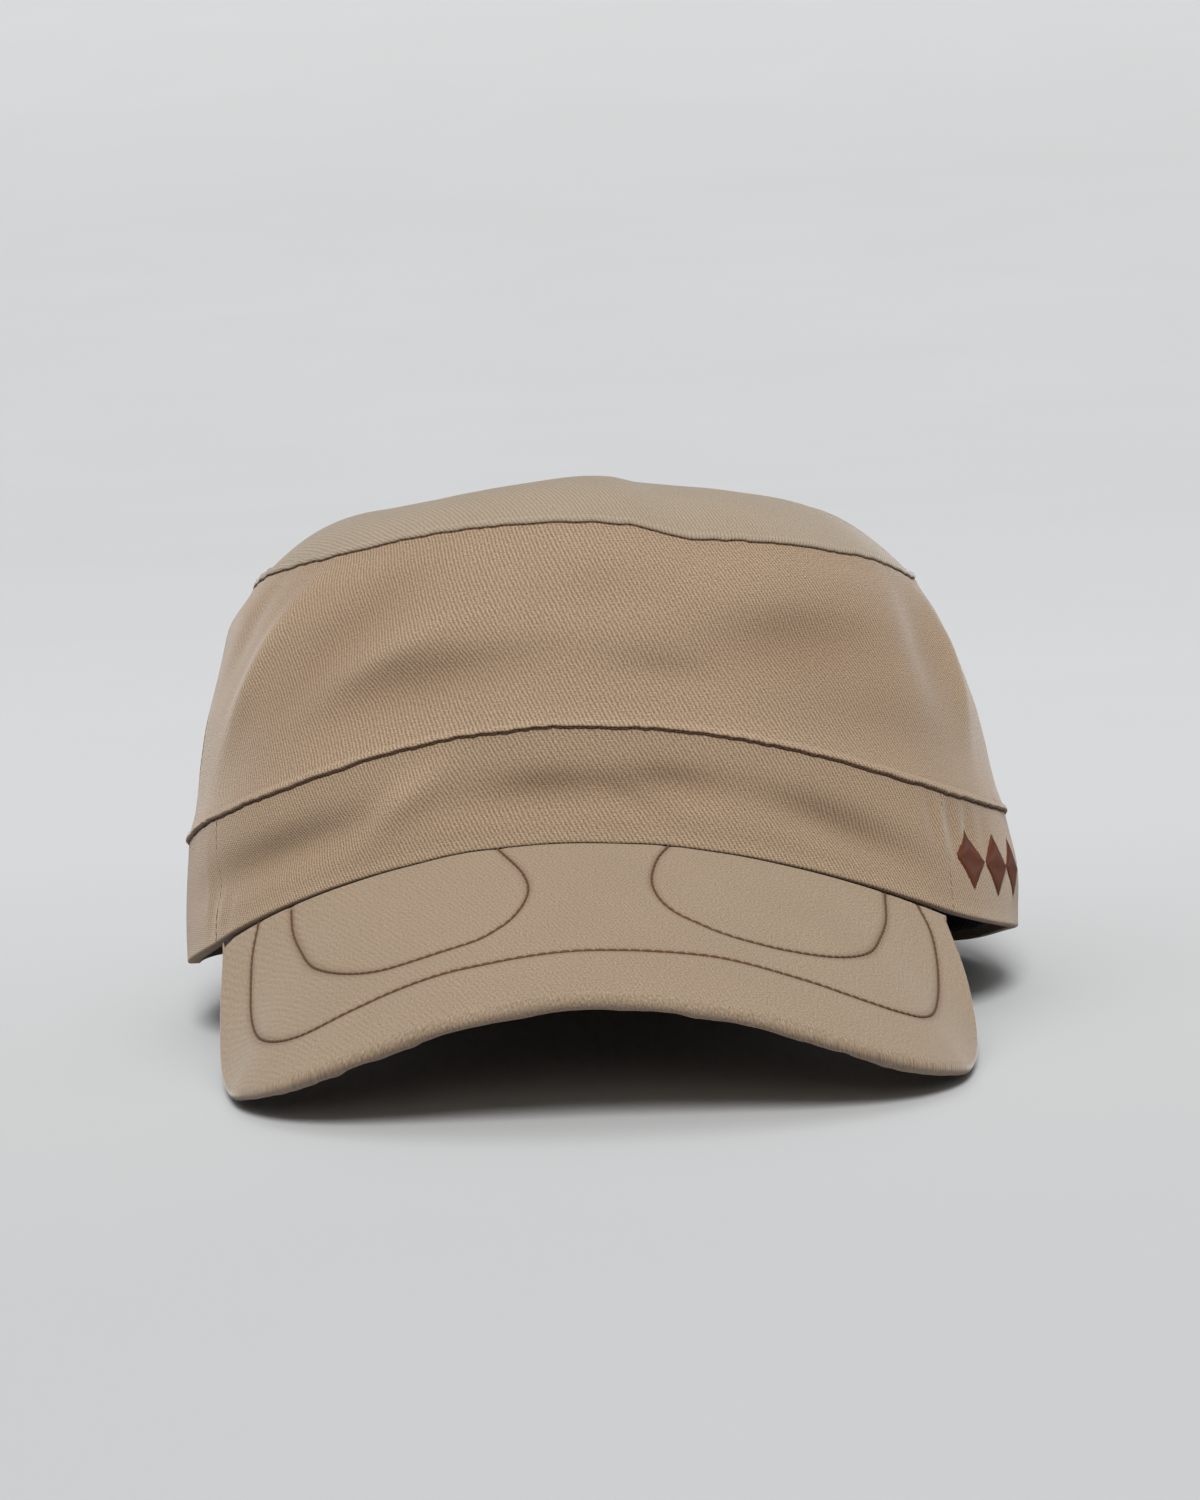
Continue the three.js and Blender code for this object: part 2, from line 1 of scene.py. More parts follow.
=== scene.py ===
# A cadet cap in cotton twill, resting on a pale floor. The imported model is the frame, and each
# cloth panel is made again here with its seams, folds and stitches.
# Sizes are millimetres from the middle of the head oval, with the peak along -Y and +X the
# wearer's left. Each mesh is moved to the frame's origin and turned to metres as it is made.
import math

import bmesh
import bpy
import numpy as np
from mathutils import Matrix, Vector


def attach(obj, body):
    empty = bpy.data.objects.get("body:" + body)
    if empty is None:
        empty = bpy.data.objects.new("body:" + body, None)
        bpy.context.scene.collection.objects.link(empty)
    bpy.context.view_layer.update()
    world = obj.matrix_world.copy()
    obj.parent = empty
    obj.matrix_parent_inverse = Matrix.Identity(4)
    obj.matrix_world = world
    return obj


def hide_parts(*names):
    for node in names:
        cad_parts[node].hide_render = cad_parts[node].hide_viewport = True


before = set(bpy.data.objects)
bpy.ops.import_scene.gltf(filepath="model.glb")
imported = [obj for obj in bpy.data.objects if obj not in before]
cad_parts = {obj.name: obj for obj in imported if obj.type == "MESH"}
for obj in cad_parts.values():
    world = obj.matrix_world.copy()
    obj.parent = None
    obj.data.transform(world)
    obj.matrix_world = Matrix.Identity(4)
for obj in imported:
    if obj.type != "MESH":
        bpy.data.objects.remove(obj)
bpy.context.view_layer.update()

MM = 0.001
ORIGIN_SHIFT = np.array([-0.2, 31.3, 0.0])

# The cap's driving dimensions
HEM_HALF_WIDTH = 86.0
HEM_FRONT_DEPTH = 98.9
HEM_BACK_DEPTH = 100.0
SEAM_HALF_WIDTH = 84.4            # band seam, between the band and the crown wall
SEAM_FRONT_DEPTH = 98.9
SEAM_BACK_DEPTH = 99.0
TOP_HALF_WIDTH = 67.8             # top seam, between the crown wall and the top panel
TOP_FRONT_DEPTH = 76.2
TOP_BACK_DEPTH = 85.0
BAND_OVAL_POWER = 2.02            # 2 is an ellipse, more is squarer
TOP_OVAL_POWER = 2.2
DOME_HEIGHT = 18.6
DOME_POWER = 4.2
DOME_RIM_POWER = 1.6              # how late the seam's own rise and fall reaches the top panel
CROWN_CLOTH = 1.8
TOP_CLOTH = 1.8
BAND_CLOTH = 2.4
SWEATBAND_CLOTH = 1.2
PIECE_GAP = 0.3
CROWN_SIDE_SEAM = 77.0            # degrees from the front
CROWN_SIDE_GAP = 0.05             # degrees from a side seam's middle to each of its panels
BAND_SIDE_SEAM = 57.5
BAND_SIDE_GAP = 0.005
BAND_DIP_SPREAD = 45.0
FRONT_SWELL_SPREAD = 42.0
MM_PER_DEGREE = 1.5               # round the cap, nearly
SWEATBAND_LOW = 0.08
SWEATBAND_HIGH = 0.94
PEAK_THICKNESS = 4.0
PEAK_EDGE_ROUND = 2.0
PEAK_FOLD_ROUND = 1.6             # of the edge's lower fold
PEAK_FACE_LEAN = 2.0              # how far the edge's face leans back under
PEAK_ROOT_MIDDLE = 1.75
PEAK_ROOT_HALF = 53.75
PEAK_TUCK = 4.4
PEAK_TUCK_UP = 1.2
PEAK_HEM_GAP = 0.08
PEAK_END_DROP = 1.1
PEAK_SIDE_SHIFT = 0.056
PEAK_CORNER_EASE = 0.08           # how far along the edge its corners are eased
PEAK_CORNER_MIDDLE = 0.76         # where they are along the edge, and how far they spread
PEAK_CORNER_SPREAD = 0.13
PEAK_NORMAL_END = 0.92            # past these places the peak's ends keep their direction
PEAK_OUTWARD_END = 0.93
PEAK_ARCH = 1.4
PEAK_TUCK_ROWS = 3

# Seams and stitches
WELT_RISE = 0.5                   # the rounded fold of the crown wall over the band seam
WELT_MIDDLE = 0.8
WELT_HALF = 0.72
WELT_ROLL = 0.55                  # radius of the crown wall's fold where it meets the band
SEAM_ROLL = 0.24                  # radius of a cloth edge that turns in at a seam
HEM_ROLL = 0.6
SIDE_ROLL = 0.3
BAND_SIDE_ROLL = 0.08
# Painted light on folds and painted shade in dents, by how far they stand out or sink in
FOLD_SHADING = 0.068                 # how much paler a fold is, and darker a dent, for each mm
FOLD_SHADING_MOST = 0.28
SEAM_WAVER = 0.13                 # how far the seams waver up and down
WAVER_REACH = 1.5                 # and how far from them the cloth follows
BAND_SEAM_SEED = 41
TOP_SEAM_SEED = 42
STITCH_PITCH = 2.05
STITCH_GAP = 0.08
STITCH_RADIUS = 0.24
CHANNEL_DEPTH = 0.16              # how far a stitch line draws the peak's cloth in
CHANNEL_SPREAD = 0.5

# Small uneven waves of the cloth: their size, their wavelength and their seed
CROWN_RIPPLE = (0.12, 14, 3)
BAND_RIPPLE = (0.1, 11, 5)
TOP_RIPPLE = (0.15, 16, 8)
SWEATBAND_RIPPLE = (0.2, 9, 11)
PEAK_CRIMP = (0.32, 7, 21)
PEAK_FINE_CRIMP = (0.16, 2.6, 22)

# Painted highlights on rounded edges (plus), and painted shade in seams, stitch channels, on the
# peak's ends and on faces turned from the light (minus)
EDGE_HIGHLIGHT = 0.15
CROWN_EDGE_SHADE = -0.9
BAND_EDGE_SHADE = -0.4
CHANNEL_SHADE = -0.5
PEAK_FACE_SHADE = -0.45
PEAK_END_SHADE = -0.5

# The weave
TWILL_PITCH = 0.75
TWILL_ANGLE = 64.0                # of the ribs, in degrees from level
YARN_TURN = 62.0                  # of the yarn in a rib, from the rib's own line
YARN_PITCH = 0.62                 # as a share of the ribs' pitch
WAVE_PERIOD = 0.314159            # of the wave texture at a scale of 1
RIB_CONTRAST = 0.55
YARN_CONTRAST = 0.16
FIBRE_CONTRAST = 3.0


def columns(header, *rows):
    """A short table, as one array for each named column."""
    values = np.array(rows, float)
    return {name: values[:, i] for i, name in enumerate(header.split())}


# Heights of the three seams by degrees from the front: left is -X and right is +X.
SEAM_HEIGHTS = columns(
    "angle hem_left hem_right band_left band_right top_left top_right",
    (0, 45.1, 45.1, 66.7, 66.7, 103.5, 103.5),
    (10, 44.2, 44.2, 65.7, 65.9, 103.1, 102.5),
    (20, 41.3, 41.5, 63.1, 63.5, 101.9, 99.1),
    (30, 37.3, 37.4, 59.3, 59.7, 99.9, 97.8),
    (40, 32.5, 32.5, 54.9, 55.3, 98.0, 96.4),
    (50, 27.2, 27.2, 50.7, 50.4, 96.1, 94.2),
    (60, 21.8, 22.2, 46.8, 46.0, 94.4, 91.9),
    (70, 17.6, 18.4, 42.5, 42.1, 92.1, 89.3),
    (80, 14.3, 15.3, 38.9, 39.2, 90.0, 86.8),
    (90, 12.9, 12.6, 36.0, 36.4, 88.6, 85.6),
    (100, 11.4, 9.8, 33.1, 33.1, 87.6, 84.6),
    (120, 6.2, 3.5, 29.2, 29.2, 85.0, 83.0),
    (140, 0.8, 0.3, 26.5, 26.5, 82.1, 81.3),
    (150, 0.0, 0.0, 25.5, 25.5, 80.5, 80.1),
    (165, 0.0, 0.0, 24.7, 24.7, 78.7, 78.6),
    (180, 0.0, 0.0, 24.5, 24.5, 78.0, 78.0),
)

# Fullness of the crown wall, by share of its height, and how much more there is in front.
WALL_SWELL = columns(
    "share swell front",
    (0.0, 0.15, 0.0), (0.085, 0.15, 0.0), (0.16, 0.4, 0.5), (0.32, 1.4, 1.6), (0.5, 2.2, 2.4),
    (0.68, 2.3, 2.2), (0.85, 1.7, 1.3), (1.0, 0.2, 0.0),
)

# Inward dip of the band's front, by share of its height.
BAND_DIP = columns(
    "share dip",
    (0.0, 0.0), (0.2, 0.0), (0.45, 0.15), (0.7, 0.3), (0.88, 0.5), (1.0, 0.6),
)

# Dents (minus) and folds (plus) of the crown wall: where, how long each way (degrees across and
# a share of the height up), how far out, and the lean of its long way from level.
FOLD_HEADER = "angle share across up out lean"
CROWN_FOLDS = columns(
    FOLD_HEADER,
    (-18, 0.27, 11, 0.1, -4.2, 3),
    (-30, 0.63, 12, 0.12, -3.0, 24),
    (-20, 0.49, 8, 0.05, 0.9, 14),
    (33, 0.51, 11, 0.13, -4.2, 8),
    (14.5, 0.28, 5, 0.06, -1.8, 0),
    (5.5, 0.69, 6, 0.08, -1.3, 0),
    (-47, 0.66, 8, 0.065, 2.0, 40),
    (-56, 0.84, 6, 0.09, -1.4, 40),
    (-90, 0.9, 22, 0.09, 2.6, 0),
    (65.5, 0.68, 6, 0.17, -1.9, 76),
    (75.0, 0.67, 6.5, 0.085, 1.8, 76),
    (52, 0.22, 16, 0.11, -1.7, 0),
    (51, 0.55, 9, 0.17, -1.0, 0),
)
BAND_FOLDS = columns(
    FOLD_HEADER,
    (90, 0.52, 22, 0.34, 1.3, 0),
    (-92, 0.5, 22, 0.34, 0.4, 0),
    (-42, 0.47, 12, 0.14, -2.8, 0),
    (-20, 0.56, 6, 0.1, 2.2, 52),
    (-1, 0.42, 6.5, 0.14, -3.0, 0),
    (15, 0.52, 4.5, 0.12, -2.3, 0),
    (10, 0.33, 4, 0.07, -1.2, -45),
    (38, 0.42, 9, 0.13, -2.8, -14),
    (62.5, 0.8, 4, 0.26, -1.3, 0),
)

# Small puckers: of the band under its seam by the wearer's left side seam, and over the hem by
# the right one.
BAND_PUCKERS = columns(
    FOLD_HEADER,
    (54.5, 0.8, 0.9, 0.2, -0.6, 0),
    (56.6, 0.74, 0.7, 0.24, 0.5, 0),
    (59.5, 0.82, 0.8, 0.2, -0.6, 0),
    (62.0, 0.8, 0.9, 0.22, 0.5, 0),
    (64.5, 0.84, 0.9, 0.2, -0.55, 0),
    (69.0, 0.86, 1.2, 0.2, -0.5, 0),
    (-55.5, 0.2, 0.9, 0.14, 0.35, 0),
    (-53.2, 0.14, 0.8, 0.12, -0.3, 0),
    (-59.0, 0.22, 0.8, 0.14, -0.3, 0),
    (-61.0, 0.55, 0.8, 0.3, 0.25, 0),
)

# Broad swells of the top panel.
DOME_WAVES = columns(
    "x y wide long rise",
    (6, 5, 9, 40, 2.2),
    (-22, 0, 15, 45, -2.0),
    (31, 5, 12, 40, -0.9),
    (-55, 0, 9, 50, 0.9),
    (54, 0, 9, 50, 1.0),
)

# Upper line of the peak's edge, from the middle (0) to its end at the band (1).
PEAK_EDGE = columns(
    "along x y z",
    (0.0, 0, -163.0, 25.8),
    (0.17, 23.0, -159.8, 22.3),
    (0.34, 44.0, -150.5, 14.3),
    (0.5, 58.2, -137.0, 7.7),
    (0.64, 67.0, -119.0, 3.2),
    (0.71, 69.3, -108.5, 1.6),
    (0.77, 71.1, -98.0, 2.0),
    (0.83, 72.2, -87.5, 5.4),
    (0.89, 72.5, -76.5, 11.0),
    (1.0, 71.2, -58.5, 22.4),
)

# The peak's three stitch lines, in its own measures: along its edge and out from its root. The
# loops' sides are the wearer's.
STITCH_HEADER = "along share"
RIGHT_LOOP = columns(
    STITCH_HEADER,
    (-0.18, -0.02), (-0.132, 0.113), (-0.104, 0.215), (-0.09, 0.33), (-0.1, 0.45),
    (-0.13, 0.547), (-0.193, 0.61),
    (-0.348, 0.593), (-0.522, 0.46), (-0.62, 0.318), (-0.698, 0.17), (-0.755, -0.02),
)
LEFT_LOOP = columns(
    STITCH_HEADER,
    (0.222, -0.02), (0.175, 0.1), (0.145, 0.23), (0.136, 0.34), (0.147, 0.445),
    (0.18, 0.52), (0.25, 0.575),
    (0.4, 0.553), (0.542, 0.468), (0.633, 0.348), (0.718, 0.195), (0.785, -0.02),
)
OUTER_LINE = columns(
    STITCH_HEADER,
    (-0.88, -0.02), (-0.84, 0.315), (-0.772, 0.545), (-0.7, 0.67), (-0.59, 0.76),
    (-0.478, 0.79), (-0.367, 0.76), (-0.277, 0.742), (-0.122, 0.745), (0.022, 0.748),
    (0.167, 0.722), (0.323, 0.72), (0.415, 0.738), (0.528, 0.757), (0.6, 0.755),
    (0.677, 0.703), (0.765, 0.598), (0.833, 0.46), (0.873, 0.28), (0.89, -0.02),
)
PEAK_LINES = (RIGHT_LOOP, LEFT_LOOP, OUTER_LINE)

# A row of three plain lozenges in satin stitch on the band, on the wearer's left.
LOZENGE_ANGLES = (63.6, 71.6, 79.6)
LOZENGE_SHARE = 0.5
LOZENGE_HALF_WIDTH = 5.2
LOZENGE_HALF_HEIGHT = 6.2
SATIN_SPACING = 0.36
SATIN_RADIUS = 0.24
SATIN_RISE = 0.45
SATIN_SUNK = 0.25                 # how deep a stitch's ends go into the cloth
SATIN_OVERLAP = 0.25              # how far they go past the lozenge's outline

# The camera, in the same millimetres as the cap
CAMERA_TARGET = Vector((1.19, 0.0, 53.22))
CAMERA_AZIMUTH = 4.2
CAMERA_ELEVATION = 5.19
CAMERA_ROLL = 2.84
CAMERA_DISTANCE = 900.0
CAMERA_LENS = 104.0

FINENESS = 1.0
UNDERSIDE_ROW_STEP = 3


# Measures
def read_table(rows, key, column, at, open_start=False, open_end=False):
    """A smooth curve through one column of a table, with no overshoot between rows. It is level
    at an end row unless that end is open."""
    knots = rows[key]
    values = rows[column]
    slopes = np.diff(values) / np.diff(knots)
    before = slopes[:-1]
    after = slopes[1:]
    turns = before * after <= 0
    total = np.where(turns, 1.0, before + after)
    tangents = np.zeros(len(knots))
    tangents[1:-1] = np.where(turns, 0.0, 2 * before * after / total)
    if open_start:
        tangents[0] = slopes[0]
    if open_end:
        tangents[-1] = slopes[-1]
    at = np.clip(at, knots[0], knots[-1])
    i = np.clip(np.searchsorted(knots, at, side="right") - 1, 0, len(knots) - 2)
    step = knots[i + 1] - knots[i]
    t = (at - knots[i]) / step
    return (
        (2 * t**3 - 3 * t**2 + 1) * values[i]
        + (t**3 - 2 * t**2 + t) * step * tangents[i]
        + (3 * t**2 - 2 * t**3) * values[i + 1]
        + (t**3 - t**2) * step * tangents[i + 1]
    )


def bell(distance, spread):
    return np.exp(-0.5 * (distance / spread) ** 2)


def wrap(angle):
    return (np.asarray(angle) + 180.0) % 360.0 - 180.0


def signed_power(value, power):
    return np.sign(value) * np.abs(value) ** (2 / power)


def unit(vectors):
    return vectors / np.linalg.norm(vectors, axis=-1, keepdims=True)


def roll_in(distance, radius):
    """How far a cloth edge has turned in, this far from its end."""
    rest = np.clip(radius - distance, 0, radius)
    return radius - np.sqrt(radius**2 - rest**2)


def folds_at(rows, angle, share):
    """The sum of a table's folds at each angle and share of the height."""
    degrees_per_share = 25.0
    out = np.zeros(np.broadcast(angle, share).shape)
    for k in range(len(rows["angle"])):
        lean = math.radians(rows["lean"][k])
        along = wrap(angle - rows["angle"][k])
        up = (share - rows["share"][k]) * degrees_per_share
        long_way = along * math.cos(lean) + up * math.sin(lean)
        short_way = up * math.cos(lean) - along * math.sin(lean)
        up_spread = rows["up"][k] * degrees_per_share
        fold = bell(long_way, rows["across"][k]) * bell(short_way, up_spread)
        out = out + rows["out"][k] * fold
    return out


def soft_noise(x, y, wavelength, seed):
    """Smooth noise from -1 to 1 over a plane, the same each time."""
    size = 64
    values = np.random.default_rng(seed).uniform(-1, 1, (size, size))
    x, y = np.broadcast_arrays(np.asarray(x) / wavelength, np.asarray(y) / wavelength)
    i = np.floor(x).astype(int)
    j = np.floor(y).astype(int)
    s = x - i
    t = y - j
    s = s * s * s * (s * (6 * s - 15) + 10)
    t = t * t * t * (t * (6 * t - 15) + 10)

    def corner(di, dj):
        return values[(i + di) % size, (j + dj) % size]

    low = corner(0, 0) * (1 - s) + corner(1, 0) * s
    high = corner(0, 1) * (1 - s) + corner(1, 1) * s
    return low * (1 - t) + high * t


def ripple(x, y, wave):
    size, wavelength, seed = wave
    return size * soft_noise(x, y, wavelength, seed)


# The three seam ovals
def oval_point(angle, half_width, front, back, power, height):
    s = np.sin(np.radians(angle))
    c = np.cos(np.radians(angle))
    x = half_width * signed_power(s, power)
    y = -np.where(c > 0, front, back) * signed_power(c, power)
    return np.stack(np.broadcast_arrays(x, y, height), -1)


def seam_height(seam, angle):
    at = wrap(angle)
    left = read_table(SEAM_HEIGHTS, "angle", seam + "_left", np.abs(at))
    right = read_table(SEAM_HEIGHTS, "angle", seam + "_right", np.abs(at))
    return np.where(at < 0, left, right)


def hem_point(angle):
    height = seam_height("hem", angle)
    return oval_point(
        angle, HEM_HALF_WIDTH, HEM_FRONT_DEPTH, HEM_BACK_DEPTH, BAND_OVAL_POWER, height
    )


def band_seam_point(angle):
    height = seam_height("band", angle)
    return oval_point(
        angle, SEAM_HALF_WIDTH, SEAM_FRONT_DEPTH, SEAM_BACK_DEPTH, BAND_OVAL_POWER, height
    )


def top_seam_point(angle):
    height = seam_height("top", angle)
    return oval_point(
        angle, TOP_HALF_WIDTH, TOP_FRONT_DEPTH, TOP_BACK_DEPTH, TOP_OVAL_POWER, height
    )


def level_outward(angle):
    span = band_seam_point(angle + 0.5) - band_seam_point(angle - 0.5)
    return unit(np.stack([span[..., 1], -span[..., 0], np.zeros(span.shape[:-1])], -1))


def arc_length(points):
    """Length along a row of points, from the first."""
    steps = np.linalg.norm(np.diff(points, axis=0), axis=1)
    return np.concatenate([[0.0], np.cumsum(steps)])


# Making meshes
class Cloth:
    """A closed cloth mesh, made of grids of points that are joined where they meet."""

    def __init__(self, name):
        self.name = name
        self.points = []
        self.faces = []
        self.uvs = []
        self.wear = []
        self.count = 0

    def grid(self, points, uv, wear):
        """Adds one grid. Its front is where going along the rows crossed with going up them
        points."""
        rows, size = points.shape[:2]
        index = self.count + np.arange(rows * size).reshape(rows, size)
        quads = np.stack([index[:-1, :-1], index[1:, :-1], index[1:, 1:], index[:-1, 1:]], -1)
        self.points.append(points.reshape(-1, 3))
        self.uvs.append(np.broadcast_to(uv, (rows, size, 2)).reshape(-1, 2))
        self.wear.append(np.broadcast_to(wear, (rows, size)).reshape(-1))
        self.faces.append(quads.reshape(-1, 4))
        self.count += rows * size

    def shell(self, outer, inner, uv, wear, closed):
        """Adds a sheet with its two sides, its edges and, unless it is closed, its ends."""
        loop = np.concatenate([outer, inner[:, ::-1], outer[:, :1]], 1)
        loop_uv = np.concatenate([uv, uv[:, ::-1], uv[:, :1]], 1)
        loop_shading = np.concatenate([wear, 0 * wear, wear[:, :1]], 1)
        self.grid(loop, loop_uv, loop_shading)
        if closed:
            return
        # The ends are painted fully dark, as painted shade in the side seams
        self.grid(np.stack([inner[0], outer[0]]), uv[:1], -1.0)
        self.grid(np.stack([outer[-1], inner[-1]]), uv[-1:], -1.0)

    def make(self, material):
        points = (np.concatenate(self.points) + ORIGIN_SHIFT) * MM
        points[:, 2] = np.maximum(points[:, 2], 0)
        faces = np.concatenate(self.faces)
        mesh = bpy.data.meshes.new(self.name)
        mesh.from_pydata(points.tolist(), [], faces.tolist())
        uvs = np.concatenate(self.uvs)[faces.reshape(-1)]
        layer = mesh.uv_layers.new(name="UVMap")
        layer.data.foreach_set("uv", uvs.astype(np.float32).reshape(-1))
        # Painted light and shade for each point, which the cloth materials read
        attribute = mesh.attributes.new("wear", "FLOAT", "POINT")
        attribute.data.foreach_set("value", np.concatenate(self.wear).astype(np.float32))
        weld(mesh)
        return finished(mesh, self.name, material)


def weld(mesh):
    work = bmesh.new()
    work.from_mesh(mesh)
    bmesh.ops.remove_doubles(work, verts=work.verts, dist=2e-6)
    bmesh.ops.dissolve_degenerate(work, edges=work.edges, dist=1e-7)
    work.to_mesh(mesh)
    work.free()


def finished(mesh, name, material):
    mesh.polygons.foreach_set("use_smooth", [True] * len(mesh.polygons))
    mesh.materials.append(material)
    piece = bpy.data.objects.new(name, mesh)
    bpy.context.scene.collection.objects.link(piece)
    return piece


def steps(start, end, step):
    """Even places from start to end, about one step apart."""
    count = max(2, int(round(abs(end - start) / (step * FINENESS))) + 1)
    return np.linspace(start, end, count)


def eased_steps(start, end, step, fine_start, fine_end, fine_step):
    """Even places, with finer ones for this far from the start and from the end."""
    low = steps(start, start + fine_start, fine_step)
    middle = steps(start + fine_start, end - fine_end, step)
    high = steps(end - fine_end, end, fine_step)
    return np.concatenate([low, middle[1:], high[1:]])


def inner_side(points, thickness):
    """The inner side of a sheet, with a cloth's thickness taken mostly level."""
    along = np.gradient(points, axis=0)
    up = np.gradient(points, axis=1)
    normal = unit(np.cross(along, up))
    normal[..., 2] *= 0.5
    return points - unit(normal) * thickness


# Cloth panels
def wall_folds(angle, share):
    """The crown wall's folds, which end at its two seams."""
    return folds_at(CROWN_FOLDS, angle, share) * np.sin(np.pi * share) ** 0.5


def wall_surface(angle, share):
    """The crown wall without its welt and rolled edges."""
    low = band_seam_point(angle)
    low[..., 2] += PIECE_GAP / 2
    points = low + (top_seam_point(angle) - low) * share[..., None]
    in_front = bell(wrap(angle), FRONT_SWELL_SPREAD)
    front = read_table(WALL_SWELL, "share", "front", share) * in_front
    out = read_table(WALL_SWELL, "share", "swell", share) + front + wall_folds(angle, share)
    return points + level_outward(angle) * out[..., None]


def band_folds(angle, share):
    """The band's folds and puckers, which end at its seam and at the hem."""
    folds = folds_at(BAND_FOLDS, angle, share) + folds_at(BAND_PUCKERS, angle, share)
    return folds * np.sin(np.pi * share) ** 0.7


def band_surface(angle, share):
    """The band without its rolled edges."""
    low = hem_point(angle)
    high = band_seam_point(angle)
    high[..., 2] -= PIECE_GAP / 2
    points = low + (high - low) * share[..., None]
    dip = read_table(BAND_DIP, "share", "dip", share) * bell(wrap(angle), BAND_DIP_SPREAD)
    return points + level_outward(angle) * (band_folds(angle, share) - dip)[..., None]


def cloth_uv(points, angle):
    """Distances over a panel in millimetres: round the cap, and up it. On the wearer's right
    the second follows the seam's fall in part, as the cut cloth does."""
    middle = points[:, points.shape[1] // 2]
    round_cap = arc_length(middle) - np.interp(0, angle[:, 0], arc_length(middle))
    at = wrap(angle[:, 0])
    most = 0.66
    lean_stretch = 1.1
    follow = most * np.clip(-at / 12, 0, 1) * np.clip((at + 180) / 60, 0, 1)
    drop = follow * (seam_height("band", angle[:, 0]) - SEAM_HEIGHTS["band_left"][0])
    up = (points[..., 2] - drop[:, None]) * lean_stretch
    return np.stack(np.broadcast_arrays(round_cap[:, None], up), -1)


def side_distance(points):
    """How far each point is from the nearer end of its panel."""
    length = arc_length(points[:, points.shape[1] // 2])
    return np.minimum(length, length[-1] - length)[:, None]


def grid_of(first, second):
    return np.meshgrid(first, second, indexing="ij")


def painted_fold_shading(folds):
    """Painted light on a panel's folds, which are paler, and painted shade in its dents, which are
    darker.
    """
    return np.clip(folds * FOLD_SHADING, -FOLD_SHADING_MOST, FOLD_SHADING_MOST)


def waver(angle, seed):
    """How far up a seam wavers with its stitches, and more slowly along its length."""
    length = angle * MM_PER_DEGREE
    stitch_by_stitch = soft_noise(length, 0, 1.7, seed)
    slow = 1.2 * soft_noise(length, 3.5, 9, seed)
    return SEAM_WAVER * (stitch_by_stitch + slow)


def crown_panel(name, start, end, material):
    side_edge = 2.2 / MM_PER_DEGREE
    angle, share = grid_of(
        eased_steps(start, end, 0.5, side_edge, side_edge, 0.15),
        eased_steps(0, 1, 0.021, 0.075, 0.05, 0.005),
    )
    points = wall_surface(angle, share)
    full = np.linalg.norm(top_seam_point(angle) - band_seam_point(angle), axis=-1)
    rise = share * full
    side = side_distance(points)
    uv = cloth_uv(points, angle)
    welt = WELT_RISE * np.exp(-(((rise - WELT_MIDDLE) / WELT_HALF) ** 4))
    waves = ripple(uv[..., 0], uv[..., 1], CROWN_RIPPLE) * np.clip(rise / 6, 0, 1)
    turned = roll_in(rise, WELT_ROLL) + roll_in(full - rise, SEAM_ROLL) + roll_in(side, SIDE_ROLL)
    outer = points + level_outward(angle) * (welt + waves - turned)[..., None]
    # Painted highlight on the welt, painted shade where the edges turn in, and painted light and
    # shade on the folds and dents
    wear = EDGE_HIGHLIGHT * welt / WELT_RISE + CROWN_EDGE_SHADE * np.clip(turned / WELT_ROLL, 0, 1)
    wear = wear + painted_fold_shading(wall_folds(angle, share))
    outer[..., 2] += waver(angle, BAND_SEAM_SEED) * np.exp(-rise / WAVER_REACH)
    outer[..., 2] += waver(angle, TOP_SEAM_SEED) * np.exp(-(full - rise) / WAVER_REACH)
    cloth = Cloth(name)
    cloth.shell(outer, inner_side(points, CROWN_CLOTH), uv, wear, closed=False)
    return cloth.make(material)


def band_panel(name, start, end, material):
    side_edge = 1.4
    angle, share = grid_of(
        eased_steps(start, end, 0.5, side_edge, side_edge, 0.15),
        eased_steps(0, 1, 0.035, 0.08, 0.07, 0.009),
    )
    points = band_surface(angle, share)
    full = np.linalg.norm(band_seam_point(angle) - hem_point(angle), axis=-1)
    rise = share * full
    side = side_distance(points)
    uv = cloth_uv(points, angle)
    waves = ripple(uv[..., 0], uv[..., 1], BAND_RIPPLE)
    turned = roll_in(rise, HEM_ROLL) + roll_in(full - rise, SEAM_ROLL)
    turned = turned + roll_in(side, BAND_SIDE_ROLL)
    outer = points + level_outward(angle) * (waves - turned)[..., None]
    # Painted highlight just above the hem's roll, painted shade where the edges turn in, and
    # painted light and shade on the folds and dents
    wear = EDGE_HIGHLIGHT * bell(rise - 1.4, 0.8) + BAND_EDGE_SHADE * np.clip(turned / HEM_ROLL, 0, 1)
    wear = wear + painted_fold_shading(band_folds(angle, share))
    outer[..., 2] += waver(angle, BAND_SEAM_SEED) * np.exp(-(full - rise) / WAVER_REACH)
    cloth = Cloth(name)
    cloth.shell(outer, inner_side(points, BAND_CLOTH), uv, wear, closed=False)
    return cloth.make(material)


def dome_surface(angle, share):
    """The top panel without its rim, by the share of the way from its middle to its seam."""
    rim = top_seam_point(angle)
    middle = (top_seam_point(np.array(90.0)) + top_seam_point(np.array(-90.0)))[2] / 2
    x = rim[..., 0] * share
    y = rim[..., 1] * share
    mixed = share**DOME_RIM_POWER
    z = middle * (1 - mixed) + rim[..., 2] * mixed + DOME_HEIGHT * (1 - share**DOME_POWER)
    for k in range(len(DOME_WAVES["x"])):
        z = z + (
            DOME_WAVES["rise"][k]
            * (1 - share**4)
            * bell(x - DOME_WAVES["x"][k], DOME_WAVES["wide"][k])
            * bell(y - DOME_WAVES["y"][k], DOME_WAVES["long"][k])
        )
    return np.stack([x, y, z + PIECE_GAP], -1)


